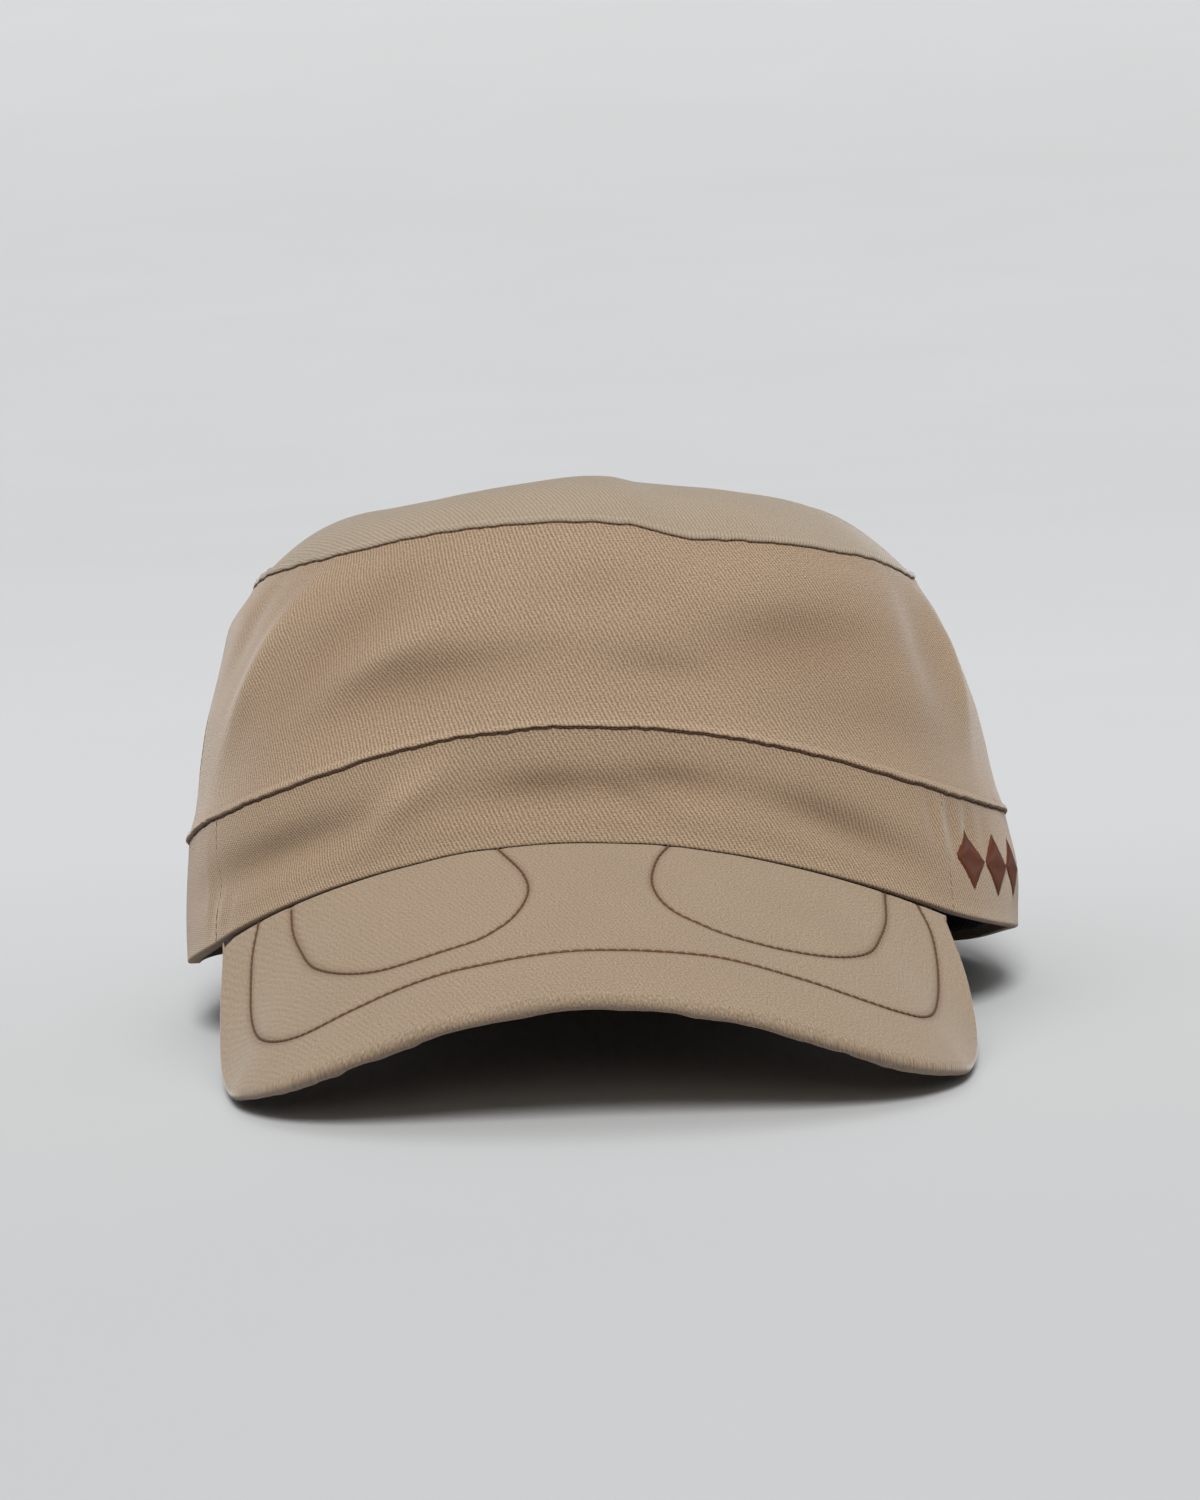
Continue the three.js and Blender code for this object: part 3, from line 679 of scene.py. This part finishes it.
# The top panel's rim, rolled over the wall's top edge: out from the seam and over it, how far
# the weave has gone down it, and its painted shading: a painted highlight on the lip, painted
# shade under it.
RIM = columns(
    "out rise down wear",
    (-0.3, 1.6, 0, 0.1),
    (-0.02, 1.25, 0.2, 0.1),
    (0.16, 0.9, 0.5, 0.1),
    (0.2, 0.55, 0.85, 0),
    (0.06, 0.28, 1.2, -0.6),
    (-0.35, 0.15, 1.9, -1),
    (-1.9, 0.3, 4.0, -1),
)


def top_panel(material):
    angle, share = grid_of(
        steps(-180, 180, 0.8),
        np.concatenate([steps(0, 0.9, 0.018), steps(0.9, 0.985, 0.012)[1:]]),
    )
    upper = dome_surface(angle, share)
    upper[..., 2] += ripple(upper[..., 0], upper[..., 1], TOP_RIPPLE)
    rim_angle, row = grid_of(angle[:, 0], np.arange(len(RIM["out"])))
    rim = top_seam_point(rim_angle) + level_outward(rim_angle) * RIM["out"][row][..., None]
    rim[..., 2] += RIM["rise"][row] + waver(rim_angle, TOP_SEAM_SEED)
    lower = dome_surface(angle, share * 0.97)
    lower[..., 2] -= TOP_CLOTH
    section = np.concatenate([upper, rim, lower[:, ::-1]], 1)[:, ::-1]
    on_rim = slice(lower.shape[1], lower.shape[1] + rim.shape[1])
    uv = section[..., :2].copy()
    uv[:, on_rim] += level_outward(angle[:, :1])[..., :2] * RIM["down"][::-1, None]
    wear = np.zeros(section.shape[:2])
    wear[:, on_rim] = RIM["wear"][::-1]
    cloth = Cloth("crown_top_cloth")
    cloth.grid(section, uv, wear)
    return cloth.make(material)


def sweatband(material):
    front_lean = 4.1
    back_lean = 0.6
    lean_spread = 75.0
    seated = BAND_CLOTH + PIECE_GAP
    angle, share = grid_of(steps(-180, 180, 1.0), np.linspace(0, 1, 14))
    height = SWEATBAND_LOW + (SWEATBAND_HIGH - SWEATBAND_LOW) * share
    low = hem_point(angle)
    points = low + (band_seam_point(angle) - low) * height[..., None]
    lean = back_lean + (front_lean - back_lean) * bell(wrap(angle), lean_spread)
    waves = ripple(angle, 20 * share, SWEATBAND_RIPPLE) * share
    waves = waves - np.minimum(band_folds(angle, height), 0)
    outward = level_outward(angle)
    edge = 3.5 * np.minimum(share, 1 - share)
    rounded = 0.3 * roll_in(edge, 0.5)
    outer = points - outward * (seated + lean * share + rounded + waves)[..., None]
    inside = seated + lean * share + SWEATBAND_CLOTH - rounded + waves
    inner = points - outward * inside[..., None]
    uv = np.stack([angle * MM_PER_DEGREE, points[..., 2]], -1)
    cloth = Cloth("sweatband_cloth")
    cloth.shell(outer, inner, uv, np.zeros(angle.shape), closed=True)
    return cloth.make(material)


# The peak
def peak_edge_table(at):
    """The edge line of one half of the peak, as the table has it."""
    x = read_table(PEAK_EDGE, "along", "x", at, True, True)
    y = read_table(PEAK_EDGE, "along", "y", at, False, True)
    z = read_table(PEAK_EDGE, "along", "z", at, False, True)
    return np.stack([x, y, z], -1)


def peak_edge_point(along, share):
    """The peak's upper edge line, eased round its corners, and more so for its inner rows."""
    at = np.abs(along)
    near_corner = bell(at - PEAK_CORNER_MIDDLE, PEAK_CORNER_SPREAD)
    spread = PEAK_CORNER_EASE * near_corner * (1 - 0.75 * share**3)
    eased = 0
    for shift, weight in ((-1.6, 0.1), (-0.8, 0.24), (0, 0.32), (0.8, 0.24), (1.6, 0.1)):
        eased = eased + weight * peak_edge_table(at + shift * spread)
    x, y, z = eased[..., 0], eased[..., 1], eased[..., 2]
    return np.stack([np.sign(along) * x - y * PEAK_SIDE_SHIFT * (1 - at**10), y, z], -1)


def peak_root_point(along):
    """Where the peak leaves the hem: close under its middle, and lower toward its ends."""
    point = hem_point(PEAK_ROOT_MIDDLE + along * PEAK_ROOT_HALF)
    at = np.abs(along)
    gap = PEAK_HEM_GAP * np.clip(2.5 * at - 0.5, -0.3, 1)
    point[..., 2] -= gap + PEAK_END_DROP * at**3
    return point


def peak_surface(along, share):
    """The peak's upper side: along its edge from -1 to 1, and a share of the way out to it."""
    root = peak_root_point(along)
    points = root + (peak_edge_point(along, share) - root) * share[..., None]
    points[..., 2] += PEAK_ARCH * (1 - along**2) * 4 * share * (1 - share)
    return points


def peak_normal(along, share):
    at = np.clip(along, -PEAK_NORMAL_END, PEAK_NORMAL_END)
    step = 0.02
    across = peak_surface(at + step, share) - peak_surface(at - step, share)
    out = peak_surface(at, share + step) - peak_surface(at, share - step)
    return unit(np.cross(out, across))


def smooth_line(rows, step):
    """A curve through a stitch line's points, as along and share, in short steps."""
    knots = np.stack([rows["along"], rows["share"]], -1)
    padded = np.concatenate([2 * knots[:1] - knots[1:2], knots, 2 * knots[-1:] - knots[-2:-1]])
    t = np.linspace(0, 1, 24, endpoint=False)[:, None]
    parts = []
    for k in range(len(knots) - 1):
        a, b, c, d = padded[k : k + 4]
        curve = 2 * b + (c - a) * t + (2 * a - 5 * b + 4 * c - d) * t**2
        parts.append((curve + (3 * b - a - 3 * c + d) * t**3) / 2)
    fine = np.concatenate([*parts, knots[-1:]])
    points = peak_surface(fine[:, 0], fine[:, 1])
    length = arc_length(points)
    at = np.arange(0, length[-1], step)
    return np.stack([np.interp(at, length, fine[:, k]) for k in (0, 1)], -1)


def channels(points):
    """How far the stitch lines draw in each point of the peak."""
    flat = points[..., :2].reshape(-1, 2)
    nearest = np.full(len(flat), 1e9)
    for rows in PEAK_LINES:
        line = smooth_line(rows, 0.5)
        on_peak = peak_surface(line[:, 0], line[:, 1])[:, :2]
        for part in np.array_split(np.arange(len(flat)), 60):
            gaps = flat[part, None] - on_peak[None]
            nearest[part] = np.minimum(nearest[part], (gaps**2).sum(-1).min(1))
    depth = CHANNEL_DEPTH * bell(np.sqrt(nearest), CHANNEL_SPREAD)
    return depth.reshape(points.shape[:2])


def peak_edge_section():
    """The peak's rounded edge from its top to its underside: how far out, how far down, and how
    much of the cloth's small waves each line takes."""
    turn = np.radians(np.linspace(0, 90, 7))
    out = PEAK_EDGE_ROUND * (np.sin(turn) - 1)
    fall = PEAK_EDGE_ROUND * (1 - np.cos(turn))
    out = np.concatenate([out, PEAK_FOLD_ROUND * (np.cos(turn) - 1)])
    low = PEAK_THICKNESS - PEAK_FOLD_ROUND
    fall = np.concatenate([fall, low + PEAK_FOLD_ROUND * np.sin(turn)])
    down = fall / PEAK_THICKNESS
    return np.stack([out - PEAK_FACE_LEAN * down**1.5, fall, down**3], -1)


def peak_rim(ends, edge, squeeze):
    """The cloth round the peak's edge, with its small waves."""
    one = np.ones(len(ends))
    inner = np.clip(ends, -PEAK_OUTWARD_END, PEAK_OUTWARD_END)
    out = unit(peak_surface(inner, one) - peak_surface(inner, 0.9 * one))
    down = -peak_normal(ends, one)
    length = arc_length(edge)
    crimp = ripple(length, 0, PEAK_CRIMP) + ripple(length, 9, PEAK_FINE_CRIMP)
    crimp = crimp * (1 - ends**8)
    rim = []
    for forward, fall, loose in peak_edge_section():
        ahead = forward * squeeze + loose * crimp
        moved = out * ahead[:, None] + down * (fall + loose * crimp)[:, None]
        rim.append(edge + moved)
    return np.stack(rim, 1)


def peak(material):
    along, share = grid_of(steps(1, -1, 0.0055), steps(0, 1, 0.011))
    ends = along[:, 0]
    one = np.ones(len(ends))
    edge = peak_surface(ends, one)
    reach = np.linalg.norm(edge - peak_surface(ends, 0 * one), axis=1)
    rounded = np.minimum(PEAK_EDGE_ROUND / reach, 0.5)
    share = share * (1 - rounded)[:, None]
    surface = peak_surface(along, share)
    drawn = channels(surface)
    upper = surface - peak_normal(along, share) * drawn[..., None]
    low_along = along[:, ::UNDERSIDE_ROW_STEP]
    low_share = share[:, ::UNDERSIDE_ROW_STEP]
    lower = peak_surface(low_along, low_share * 0.98)
    lower = lower - peak_normal(low_along, low_share) * PEAK_THICKNESS
    rim = peak_rim(ends, edge, rounded * reach / PEAK_EDGE_ROUND)
    section = [peak_tuck(ends, True), upper, rim, lower[:, ::-1], peak_tuck(ends, False)]
    section = np.concatenate([*section, section[0][:, :1]], 1)
    first = PEAK_TUCK_ROWS + upper.shape[1]
    last = first + rim.shape[1]
    uv = section[..., :2].copy()
    row_height = PEAK_THICKNESS / rim.shape[1]
    uv[:, first:last, 1] = edge[:, 1:2] - np.arange(rim.shape[1]) * row_height
    wear = np.zeros(section.shape[:2])
    # Painted shade in the stitch channels, and down the edge's face, which turns from the light
    wear[:, PEAK_TUCK_ROWS:first] = CHANNEL_SHADE * drawn / CHANNEL_DEPTH
    wear[:, first:last] = PEAK_FACE_SHADE * np.linspace(0, 1, rim.shape[1])
    cloth = Cloth("peak_cloth")
    cloth.grid(section, uv, wear)
    close_peak_ends(cloth, section, uv, (upper.shape[1], rim.shape[1], lower.shape[1]))
    return cloth.make(material)


def close_peak_ends(cloth, section, uv, rows):
    for row, order in ((0, 1), (-1, -1)):
        sides = np.stack(peak_end_sides(section[row], rows))[::order]
        # The ends are painted dark, as painted shade
        cloth.grid(sides, uv[row, : sides.shape[1]][None], PEAK_END_SHADE)


def peak_end_sides(outline, rows):
    """The upper and the lower side of an end's outline, point against point."""
    upper, rim, lower = rows
    middle = PEAK_TUCK_ROWS + upper + rim // 2
    rest = outline[middle:-1][::-1]
    rim_start = PEAK_TUCK_ROWS + lower
    along_lower = PEAK_TUCK_ROWS + np.linspace(0, lower - 1, upper)
    along_rim = rim_start + np.linspace(0, len(rest) - 1 - rim_start, rim // 2)
    at = np.concatenate([np.arange(PEAK_TUCK_ROWS), along_lower, along_rim])
    knots = np.arange(len(rest))
    second = np.stack([np.interp(at, knots, rest[:, k]) for k in range(3)], -1)
    return outline[:middle], second


def peak_tuck(along, upper):
    """The peak's root, tucked in under the hem and turned up behind the band."""
    angle = PEAK_ROOT_MIDDLE + along * PEAK_ROOT_HALF
    behind = hem_point(angle)
    outward = level_outward(angle)
    behind_band = BAND_CLOTH + 2 * PIECE_GAP

    def at(depth, up):
        point = behind - outward * depth
        point[..., 2] = behind[..., 2] + up
        return point

    if upper:
        return np.stack(
            [
                at(PEAK_TUCK, PEAK_TUCK_UP),
                at(behind_band, PEAK_TUCK_UP),
                at(behind_band, -PEAK_HEM_GAP - PIECE_GAP),
            ],
            1,
        )
    under = -PEAK_HEM_GAP - PEAK_THICKNESS
    return np.stack(
        [
            at(behind_band, under),
            at(behind_band + 0.6, under + 0.3 * PEAK_THICKNESS),
            at(PEAK_TUCK, under + 0.7 * PEAK_THICKNESS),
        ],
        1,
    )


# Threads
def tubes(name, centres, ups, radii, material, sides=6):
    """Short threads with rounded ends. Each has a row of centres, ups and radii."""
    tangents = unit(np.gradient(centres, axis=1))
    across = unit(np.cross(tangents, ups))
    upright = np.cross(across, tangents)
    turn = np.arange(sides + 1) * 2 * np.pi / sides
    ring = across[:, :, None] * np.cos(turn)[:, None] + upright[:, :, None] * np.sin(turn)[:, None]
    points = centres[:, :, None] + ring * radii[..., None, None]
    cloth = Cloth(name)
    length = arc_length(centres[0])
    uv = np.stack(np.broadcast_arrays(length[:, None], turn * 0.3), -1)
    for k in range(len(points)):
        closed_uv = np.concatenate([uv[:1], uv, uv[-1:]])
        closed = np.concatenate(
            [
                np.broadcast_to(centres[k, 0], points[k, :1].shape),
                points[k],
                np.broadcast_to(centres[k, -1], points[k, -1:].shape),
            ]
        )
        cloth.grid(closed, closed_uv, 0.0)
    return cloth.make(material)


def stitches(name, paths, sizes, lift, material):
    """Rows of stitches, each path a row of points with their ups. The sizes are the stitches'
    pitch, the gap between two, and the thread's radius."""
    pitch, gap, radius = sizes
    t = np.linspace(0, 1, 7)
    centres = []
    ups = []
    for points, up in paths:
        length = arc_length(points)
        starts = np.arange(gap / 2, length[-1] - pitch, pitch)
        at = starts[:, None] + (pitch - gap) * t
        centre = np.stack([np.interp(at, length, points[:, k]) for k in range(3)], -1)
        upward = unit(np.stack([np.interp(at, length, up[:, k]) for k in range(3)], -1))
        arch = lift + radius * (0.6 * np.sin(np.pi * t) ** 0.5 - 0.3)
        centres.append(centre + upward * arch[:, None])
        ups.append(upward)
    centres = np.concatenate(centres)
    thick = radius * (0.55 + 0.45 * np.sin(np.pi * t) ** 0.4)
    radii = np.broadcast_to(thick, centres.shape[:2])
    return tubes(name, centres, np.concatenate(ups), radii, material)


def peak_stitches(material):
    paths = []
    for rows in PEAK_LINES:
        line = smooth_line(rows, 0.4)
        points = peak_surface(line[:, 0], line[:, 1])
        up = peak_normal(line[:, 0], line[:, 1])
        paths.append((points - up * CHANNEL_DEPTH, up))
    lift = 0.08
    sizes = (STITCH_PITCH, STITCH_GAP, STITCH_RADIUS)
    return stitches("peak_stitches", paths, sizes, lift, material)


def seam_stitches(material):
    """Dark thread that shows in the band seam and in the top seam."""
    band_depth = 0.3
    top_depth = 0.2
    top_rise = 0.1
    angle = np.linspace(-180, 180, 1500)
    outward = level_outward(angle)
    band_seam = band_seam_point(angle) - outward * band_depth
    top_seam = top_seam_point(angle) - outward * top_depth
    top_seam[:, 2] += top_rise + waver(angle, TOP_SEAM_SEED)
    band_seam[:, 2] += waver(angle, BAND_SEAM_SEED)
    paths = [(band_seam, outward), (top_seam, outward)]
    return stitches("seam_stitches", paths, (STITCH_PITCH, 0.15, 0.15), 0.0, material)


def side_stitches(material):
    """Thread that shows in the crown's two side seams."""
    depth = 0.35
    share = np.linspace(0.06, 0.97, 120)
    paths = []
    for angle in (-CROWN_SIDE_SEAM, CROWN_SIDE_SEAM):
        at = np.full(share.shape, angle)
        outward = level_outward(at)
        paths.append((wall_surface(at, share) - outward * depth, outward))
    return stitches("crown_side_stitches", paths, (1.9, 0.4, 0.2), 0.0, material)


def ornament(material):
    """Three lozenges of upright satin stitches, each slightly padded."""
    random = np.random.default_rng(31)
    t = np.linspace(0, 1, 9)
    centres = []
    ups = []
    for middle in LOZENGE_ANGLES:
        for x in np.arange(-LOZENGE_HALF_WIDTH + 0.2, LOZENGE_HALF_WIDTH, SATIN_SPACING):
            reach = LOZENGE_HALF_HEIGHT * (1 - abs(x) / LOZENGE_HALF_WIDTH)
            reach = reach + random.uniform(-0.1, 0.1) + SATIN_OVERLAP
            angle = np.full(t.shape, middle + x / MM_PER_DEGREE)
            height = np.linalg.norm(band_seam_point(angle) - hem_point(angle), axis=-1)
            share = LOZENGE_SHARE + (2 * t - 1) * reach / height
            outward = level_outward(angle)
            padding = SATIN_RISE * np.sin(np.pi * t) ** 0.4 - SATIN_SUNK
            centres.append(band_surface(angle, share) + outward * padding[:, None])
            ups.append(outward)
    centres = np.array(centres)
    radii = np.full(centres.shape[:2], SATIN_RADIUS)
    return tubes("band_ornament", centres, np.array(ups), radii, material)


# Materials
class Material:
    """A node material built step by step."""

    def __init__(self, name):
        self.material = bpy.data.materials.new(name)
        self.material.use_nodes = True
        self.tree = self.material.node_tree
        self.shader = self.tree.nodes["Principled BSDF"]

    def feed(self, socket, value):
        """Links a node's output to a socket, or sets the socket to a constant."""
        if isinstance(value, bpy.types.NodeSocket):
            self.tree.links.new(value, socket)
        else:
            socket.default_value = value

    def node(self, kind, **inputs):
        node = self.tree.nodes.new("ShaderNode" + kind)
        for name, value in inputs.items():
            self.feed(node.inputs[name.replace("_", " ")], value)
        return node

    def set(self, **values):
        for name, value in values.items():
            self.feed(self.shader.inputs[name.replace("_", " ")], value)

    def math(self, operation, first, second):
        node = self.tree.nodes.new("ShaderNodeMath")
        node.operation = operation
        self.feed(node.inputs[0], first)
        self.feed(node.inputs[1], second)
        return node.outputs[0]

    def mix(self, factor, first, second, blend="MIX"):
        node = self.tree.nodes.new("ShaderNodeMix")
        node.data_type = "RGBA"
        node.blend_type = blend
        for key, value in ((0, factor), (6, first), (7, second)):
            self.feed(node.inputs[key], value)
        return node.outputs[2]

    def spread(self, value, **ends):
        """The value taken from one range to another, by the names of their ends."""
        return self.node("MapRange", Value=value, **ends).outputs["Result"]

    def ribs(self, uv, angle, pitch, distortion):
        """Even ribs across a plane of millimetres, as a height from 0 to 1."""
        turned = self.node("Mapping", Vector=uv)
        turned.inputs["Rotation"].default_value = (0, 0, math.radians(angle - 90))
        scale = WAVE_PERIOD / pitch
        wave = self.node("TexWave", Vector=turned.outputs["Vector"], Scale=scale)
        wave.inputs["Distortion"].default_value = distortion
        wave.inputs["Detail"].default_value = 1.0
        wave.inputs["Detail Scale"].default_value = 1.5
        return wave.outputs["Fac"]


def colour(red, green, blue):
    """An sRGB colour from 0 to 255, as the linear colour that a shader takes."""

    def linear(value):
        value = value / 255
        return value / 12.92 if value < 0.04045 else ((value + 0.055) / 1.055) ** 2.4

    return (linear(red), linear(green), linear(blue), 1.0)


# Tints for painted shade (darker and warmer) and painted highlights (paler and greyer)
SHADE_TINT = (0.42, 0.3, 0.2, 1.0)
HIGHLIGHT_TINT = (1.58, 1.7, 1.8, 1.0)


def twill(
    name, light, dark, relief, angle=TWILL_ANGLE, pitch=TWILL_PITCH, contrast=1.0, fuzz=0.24
):
    """Cotton twill: diagonal ribs of short yarn floats, with fibre noise, painted shade and
    painted highlights.
    """
    m = Material(name)
    uv = m.node("UVMap").outputs["UV"]
    rib = m.ribs(uv, angle, pitch, 1.6)
    yarn = m.ribs(uv, angle - YARN_TURN, pitch * YARN_PITCH, 1.4)
    fibre = m.node("TexNoise", Vector=uv, Scale=2.7, Detail=3.0, Roughness=0.75).outputs["Fac"]
    cloud = m.node("TexNoise", Vector=uv, Scale=0.045, Detail=3.0, Roughness=0.6).outputs["Fac"]
    shade = m.math("MULTIPLY", rib, RIB_CONTRAST * contrast)
    shade = m.math("ADD", shade, m.math("MULTIPLY", yarn, YARN_CONTRAST * contrast))
    shade = m.math("ADD", shade, m.math("MULTIPLY", fibre, FIBRE_CONTRAST))
    middle = (FIBRE_CONTRAST + (RIB_CONTRAST + YARN_CONTRAST) * contrast) / 2
    shade = m.math("SUBTRACT", shade, middle - 0.5)
    tone = m.mix(shade, dark, light)
    clouded = m.spread(cloud, To_Min=0.94, To_Max=1.06)
    tone = m.mix(1.0, tone, clouded, "MULTIPLY")
    # Painted shade and painted highlights, read from each point of the mesh
    wear = m.node("Attribute")
    wear.attribute_name = "wear"
    light_or_shade = m.spread(wear.outputs["Fac"], From_Min=-1.0)
    painted_tint = m.mix(light_or_shade, SHADE_TINT, HIGHLIGHT_TINT)
    tone = m.mix(1.0, tone, painted_tint, "MULTIPLY")
    height = m.math("MULTIPLY", rib, 0.75)
    height = m.math("ADD", height, m.math("MULTIPLY", yarn, 0.25))
    height = m.math("ADD", height, m.math("MULTIPLY", fibre, 0.5))
    bump = m.node("Bump", Height=height, Distance=relief * MM).outputs["Normal"]
    m.set(Base_Color=tone, Roughness=m.spread(fibre, To_Min=0.82, To_Max=0.98), Normal=bump)
    m.set(Specular_IOR_Level=0.2, Diffuse_Roughness=0.5)
    m.set(Sheen_Weight=fuzz, Sheen_Roughness=0.3, Sheen_Tint=(0.98, 0.99, 1.0, 1.0))
    return m.material


def thread(name, light, dark):
    """Twisted sewing thread."""
    m = Material(name)
    uv = m.node("UVMap").outputs["UV"]
    ply = m.ribs(uv, 40, 0.32, 0.3)
    noise = m.node("TexNoise", Vector=uv, Scale=2.0, Detail=2.0).outputs["Fac"]
    shade = m.math("MULTIPLY", ply, 0.6)
    shade = m.math("ADD", shade, m.math("MULTIPLY", noise, 0.5))
    tone = m.mix(shade, dark, light)
    bump = m.node("Bump", Height=ply, Distance=0.06 * MM).outputs["Normal"]
    m.set(Base_Color=tone, Roughness=m.spread(noise, To_Min=0.5, To_Max=0.8), Normal=bump)
    m.set(Specular_IOR_Level=0.2, Sheen_Weight=0.04)
    return m.material


def floor_material():
    """Pale paper, painted a little paler behind the cap and darker up the backdrop, as painted
    light and shade.
    """
    m = Material("floor_paper")
    where = m.node("TexCoord").outputs["Object"]
    noise = m.node("TexNoise", Vector=where, Scale=3.0, Detail=4.0).outputs["Fac"]
    tone = m.mix(noise, colour(192, 193, 194), colour(195, 196, 198))
    back = m.node("SeparateXYZ", Vector=where).outputs["Y"]
    # Painted light: the floor is paler behind the cap
    rise = m.spread(back, From_Min=-0.2, From_Max=0.35, To_Min=0.985, To_Max=1.095)
    tone = m.mix(1.0, tone, rise, "MULTIPLY")
    # Painted shade: darker up the backdrop
    painted_backdrop_falloff = m.spread(back, From_Min=0.6, From_Max=7.0, To_Min=1.0, To_Max=0.82)
    tone = m.mix(1.0, tone, painted_backdrop_falloff, "MULTIPLY")
    m.set(Base_Color=tone, Roughness=0.95, Specular_IOR_Level=0.1)
    return m.material


# The studio
def studio_floor(material):
    """A pale floor that curves up into the backdrop."""
    half_width = 9.0
    start = -4.0
    flat_end = 2.5
    bend = 24.0
    turn = np.radians(np.linspace(0, 40, 41))
    profile = [(start, 0.0), (0.0, 0.0)]
    profile += [(flat_end + bend * math.sin(a), bend * (1 - math.cos(a))) for a in turn]
    points = []
    for x in (-half_width, half_width):
        points += [(x, y, z) for y, z in profile]
    count = len(profile)
    faces = [(i, i + count, i + count + 1, i + 1) for i in range(count - 1)]
    mesh = bpy.data.meshes.new("studio_floor")
    mesh.from_pydata(points, [], faces)
    floor = finished(mesh, "studio_floor", material)


def soft_sun(name, azimuth, elevation, spread, strength, tint):
    """Even light from a soft patch of the studio, this many degrees across."""
    data = bpy.data.lights.new(name, "SUN")
    data.angle = math.radians(spread)
    data.energy = strength
    data.color = tint
    light = bpy.data.objects.new(name, data)
    tilt = math.radians(90 - elevation)
    light.rotation_euler = (tilt, 0, math.radians(azimuth))
    light.location = (0, 0, 2)
    bpy.context.scene.collection.objects.link(light)


def studio_lights():
    """A softbox in front, a weaker one below it and a wide one overhead."""
    world = bpy.data.worlds.new("studio_world")
    world.use_nodes = True
    background = world.node_tree.nodes["Background"]
    background.inputs["Color"].default_value = (0.97, 0.985, 1.0, 1.0)
    background.inputs["Strength"].default_value = 0.2
    bpy.context.scene.world = world
    soft_sun("front_softbox", 3, 36, 16, 3.36, (1.0, 1.0, 0.99))
    soft_sun("low_softbox", 8, 20, 14, 0.35, (1.0, 0.97, 0.86))
    soft_sun("overhead_softbox", -8, 64, 70, 1.05, (1.0, 1.0, 1.0))


def camera():
    azimuth = math.radians(CAMERA_AZIMUTH)
    elevation = math.radians(CAMERA_ELEVATION)
    roll = math.radians(CAMERA_ROLL)
    back = Vector(
        (
            math.sin(azimuth) * math.cos(elevation),
            -math.cos(azimuth) * math.cos(elevation),
            math.sin(elevation),
        )
    )
    right = (-back).cross(Vector((0, 0, 1))).normalized()
    up = right.cross(-back)
    rolled_right = right * math.cos(roll) - up * math.sin(roll)
    rolled_up = right * math.sin(roll) + up * math.cos(roll)
    position = (CAMERA_TARGET + Vector(ORIGIN_SHIFT) + back * CAMERA_DISTANCE) * MM
    data = bpy.data.cameras.new("camera")
    data.lens = CAMERA_LENS
    data.clip_start = 0.01
    view = bpy.data.objects.new("camera", data)
    turned = Matrix((rolled_right, rolled_up, back)).transposed()
    view.matrix_world = Matrix.Translation(position) @ turned.to_4x4()
    bpy.context.scene.collection.objects.link(view)
    bpy.context.scene.camera = view


def place(piece, slot, *nodes):
    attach(piece, "root")
    if nodes:
        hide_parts(*nodes)


def studio():
    camera()
    studio_floor(floor_material())
    studio_lights()
    bpy.context.scene.view_settings.view_transform = "Standard"


def cap():
    relief = 0.1
    crown_cloth = twill("crown_twill", colour(162, 142, 121), colour(110, 89, 68), relief)
    # The top panel is painted paler and greyer than the wall, as painted light and sheen on the
    # top
    top_cloth = twill("top_twill", colour(156, 142, 125), colour(125, 110, 93), relief, fuzz=0.36)
    band_cloth = twill("band_twill", colour(163, 143, 122), colour(110, 89, 67), relief, fuzz=0.16)
    # The peak is painted a little darker than the wall, as painted shade
    peak_cloth = twill(
        "peak_twill", colour(155, 138, 119), colour(112, 95, 76), relief / 2, contrast=0.22
    )
    tape = twill(
        "sweatband_tape", colour(40, 46, 44), colour(18, 22, 21), 0.12, angle=30, pitch=1.1
    )
    brown = thread("brown_thread", colour(108, 74, 52), colour(70, 46, 32))
    satin = thread("satin_thread", colour(98, 48, 25), colour(64, 30, 14))

    side = CROWN_SIDE_SEAM
    gap = CROWN_SIDE_GAP
    place(top_panel(top_cloth), "crown_cloth", "crown_top")
    front = crown_panel("crown_front_cloth", -side + gap, side - gap, crown_cloth)
    place(front, "crown_cloth", "crown_front")
    back = crown_panel("crown_back_cloth", side + gap, 360 - side - gap, crown_cloth)
    place(back, "crown_cloth", "crown_back")
    side = BAND_SIDE_SEAM
    gap = BAND_SIDE_GAP
    front = band_panel("band_front_cloth", -side + gap, side - gap, band_cloth)
    place(front, "band_cloth", "band_front")
    back = band_panel("band_back_cloth", side + gap, 360 - side - gap, band_cloth)
    place(back, "band_cloth", "band_back")
    place(sweatband(tape), "sweatband_cloth", "sweatband")
    place(peak(peak_cloth), "peak_cloth", "peak")
    place(peak_stitches(brown), None)
    place(seam_stitches(brown), None)
    place(side_stitches(brown), None)
    place(ornament(satin), None)


studio()
cap()
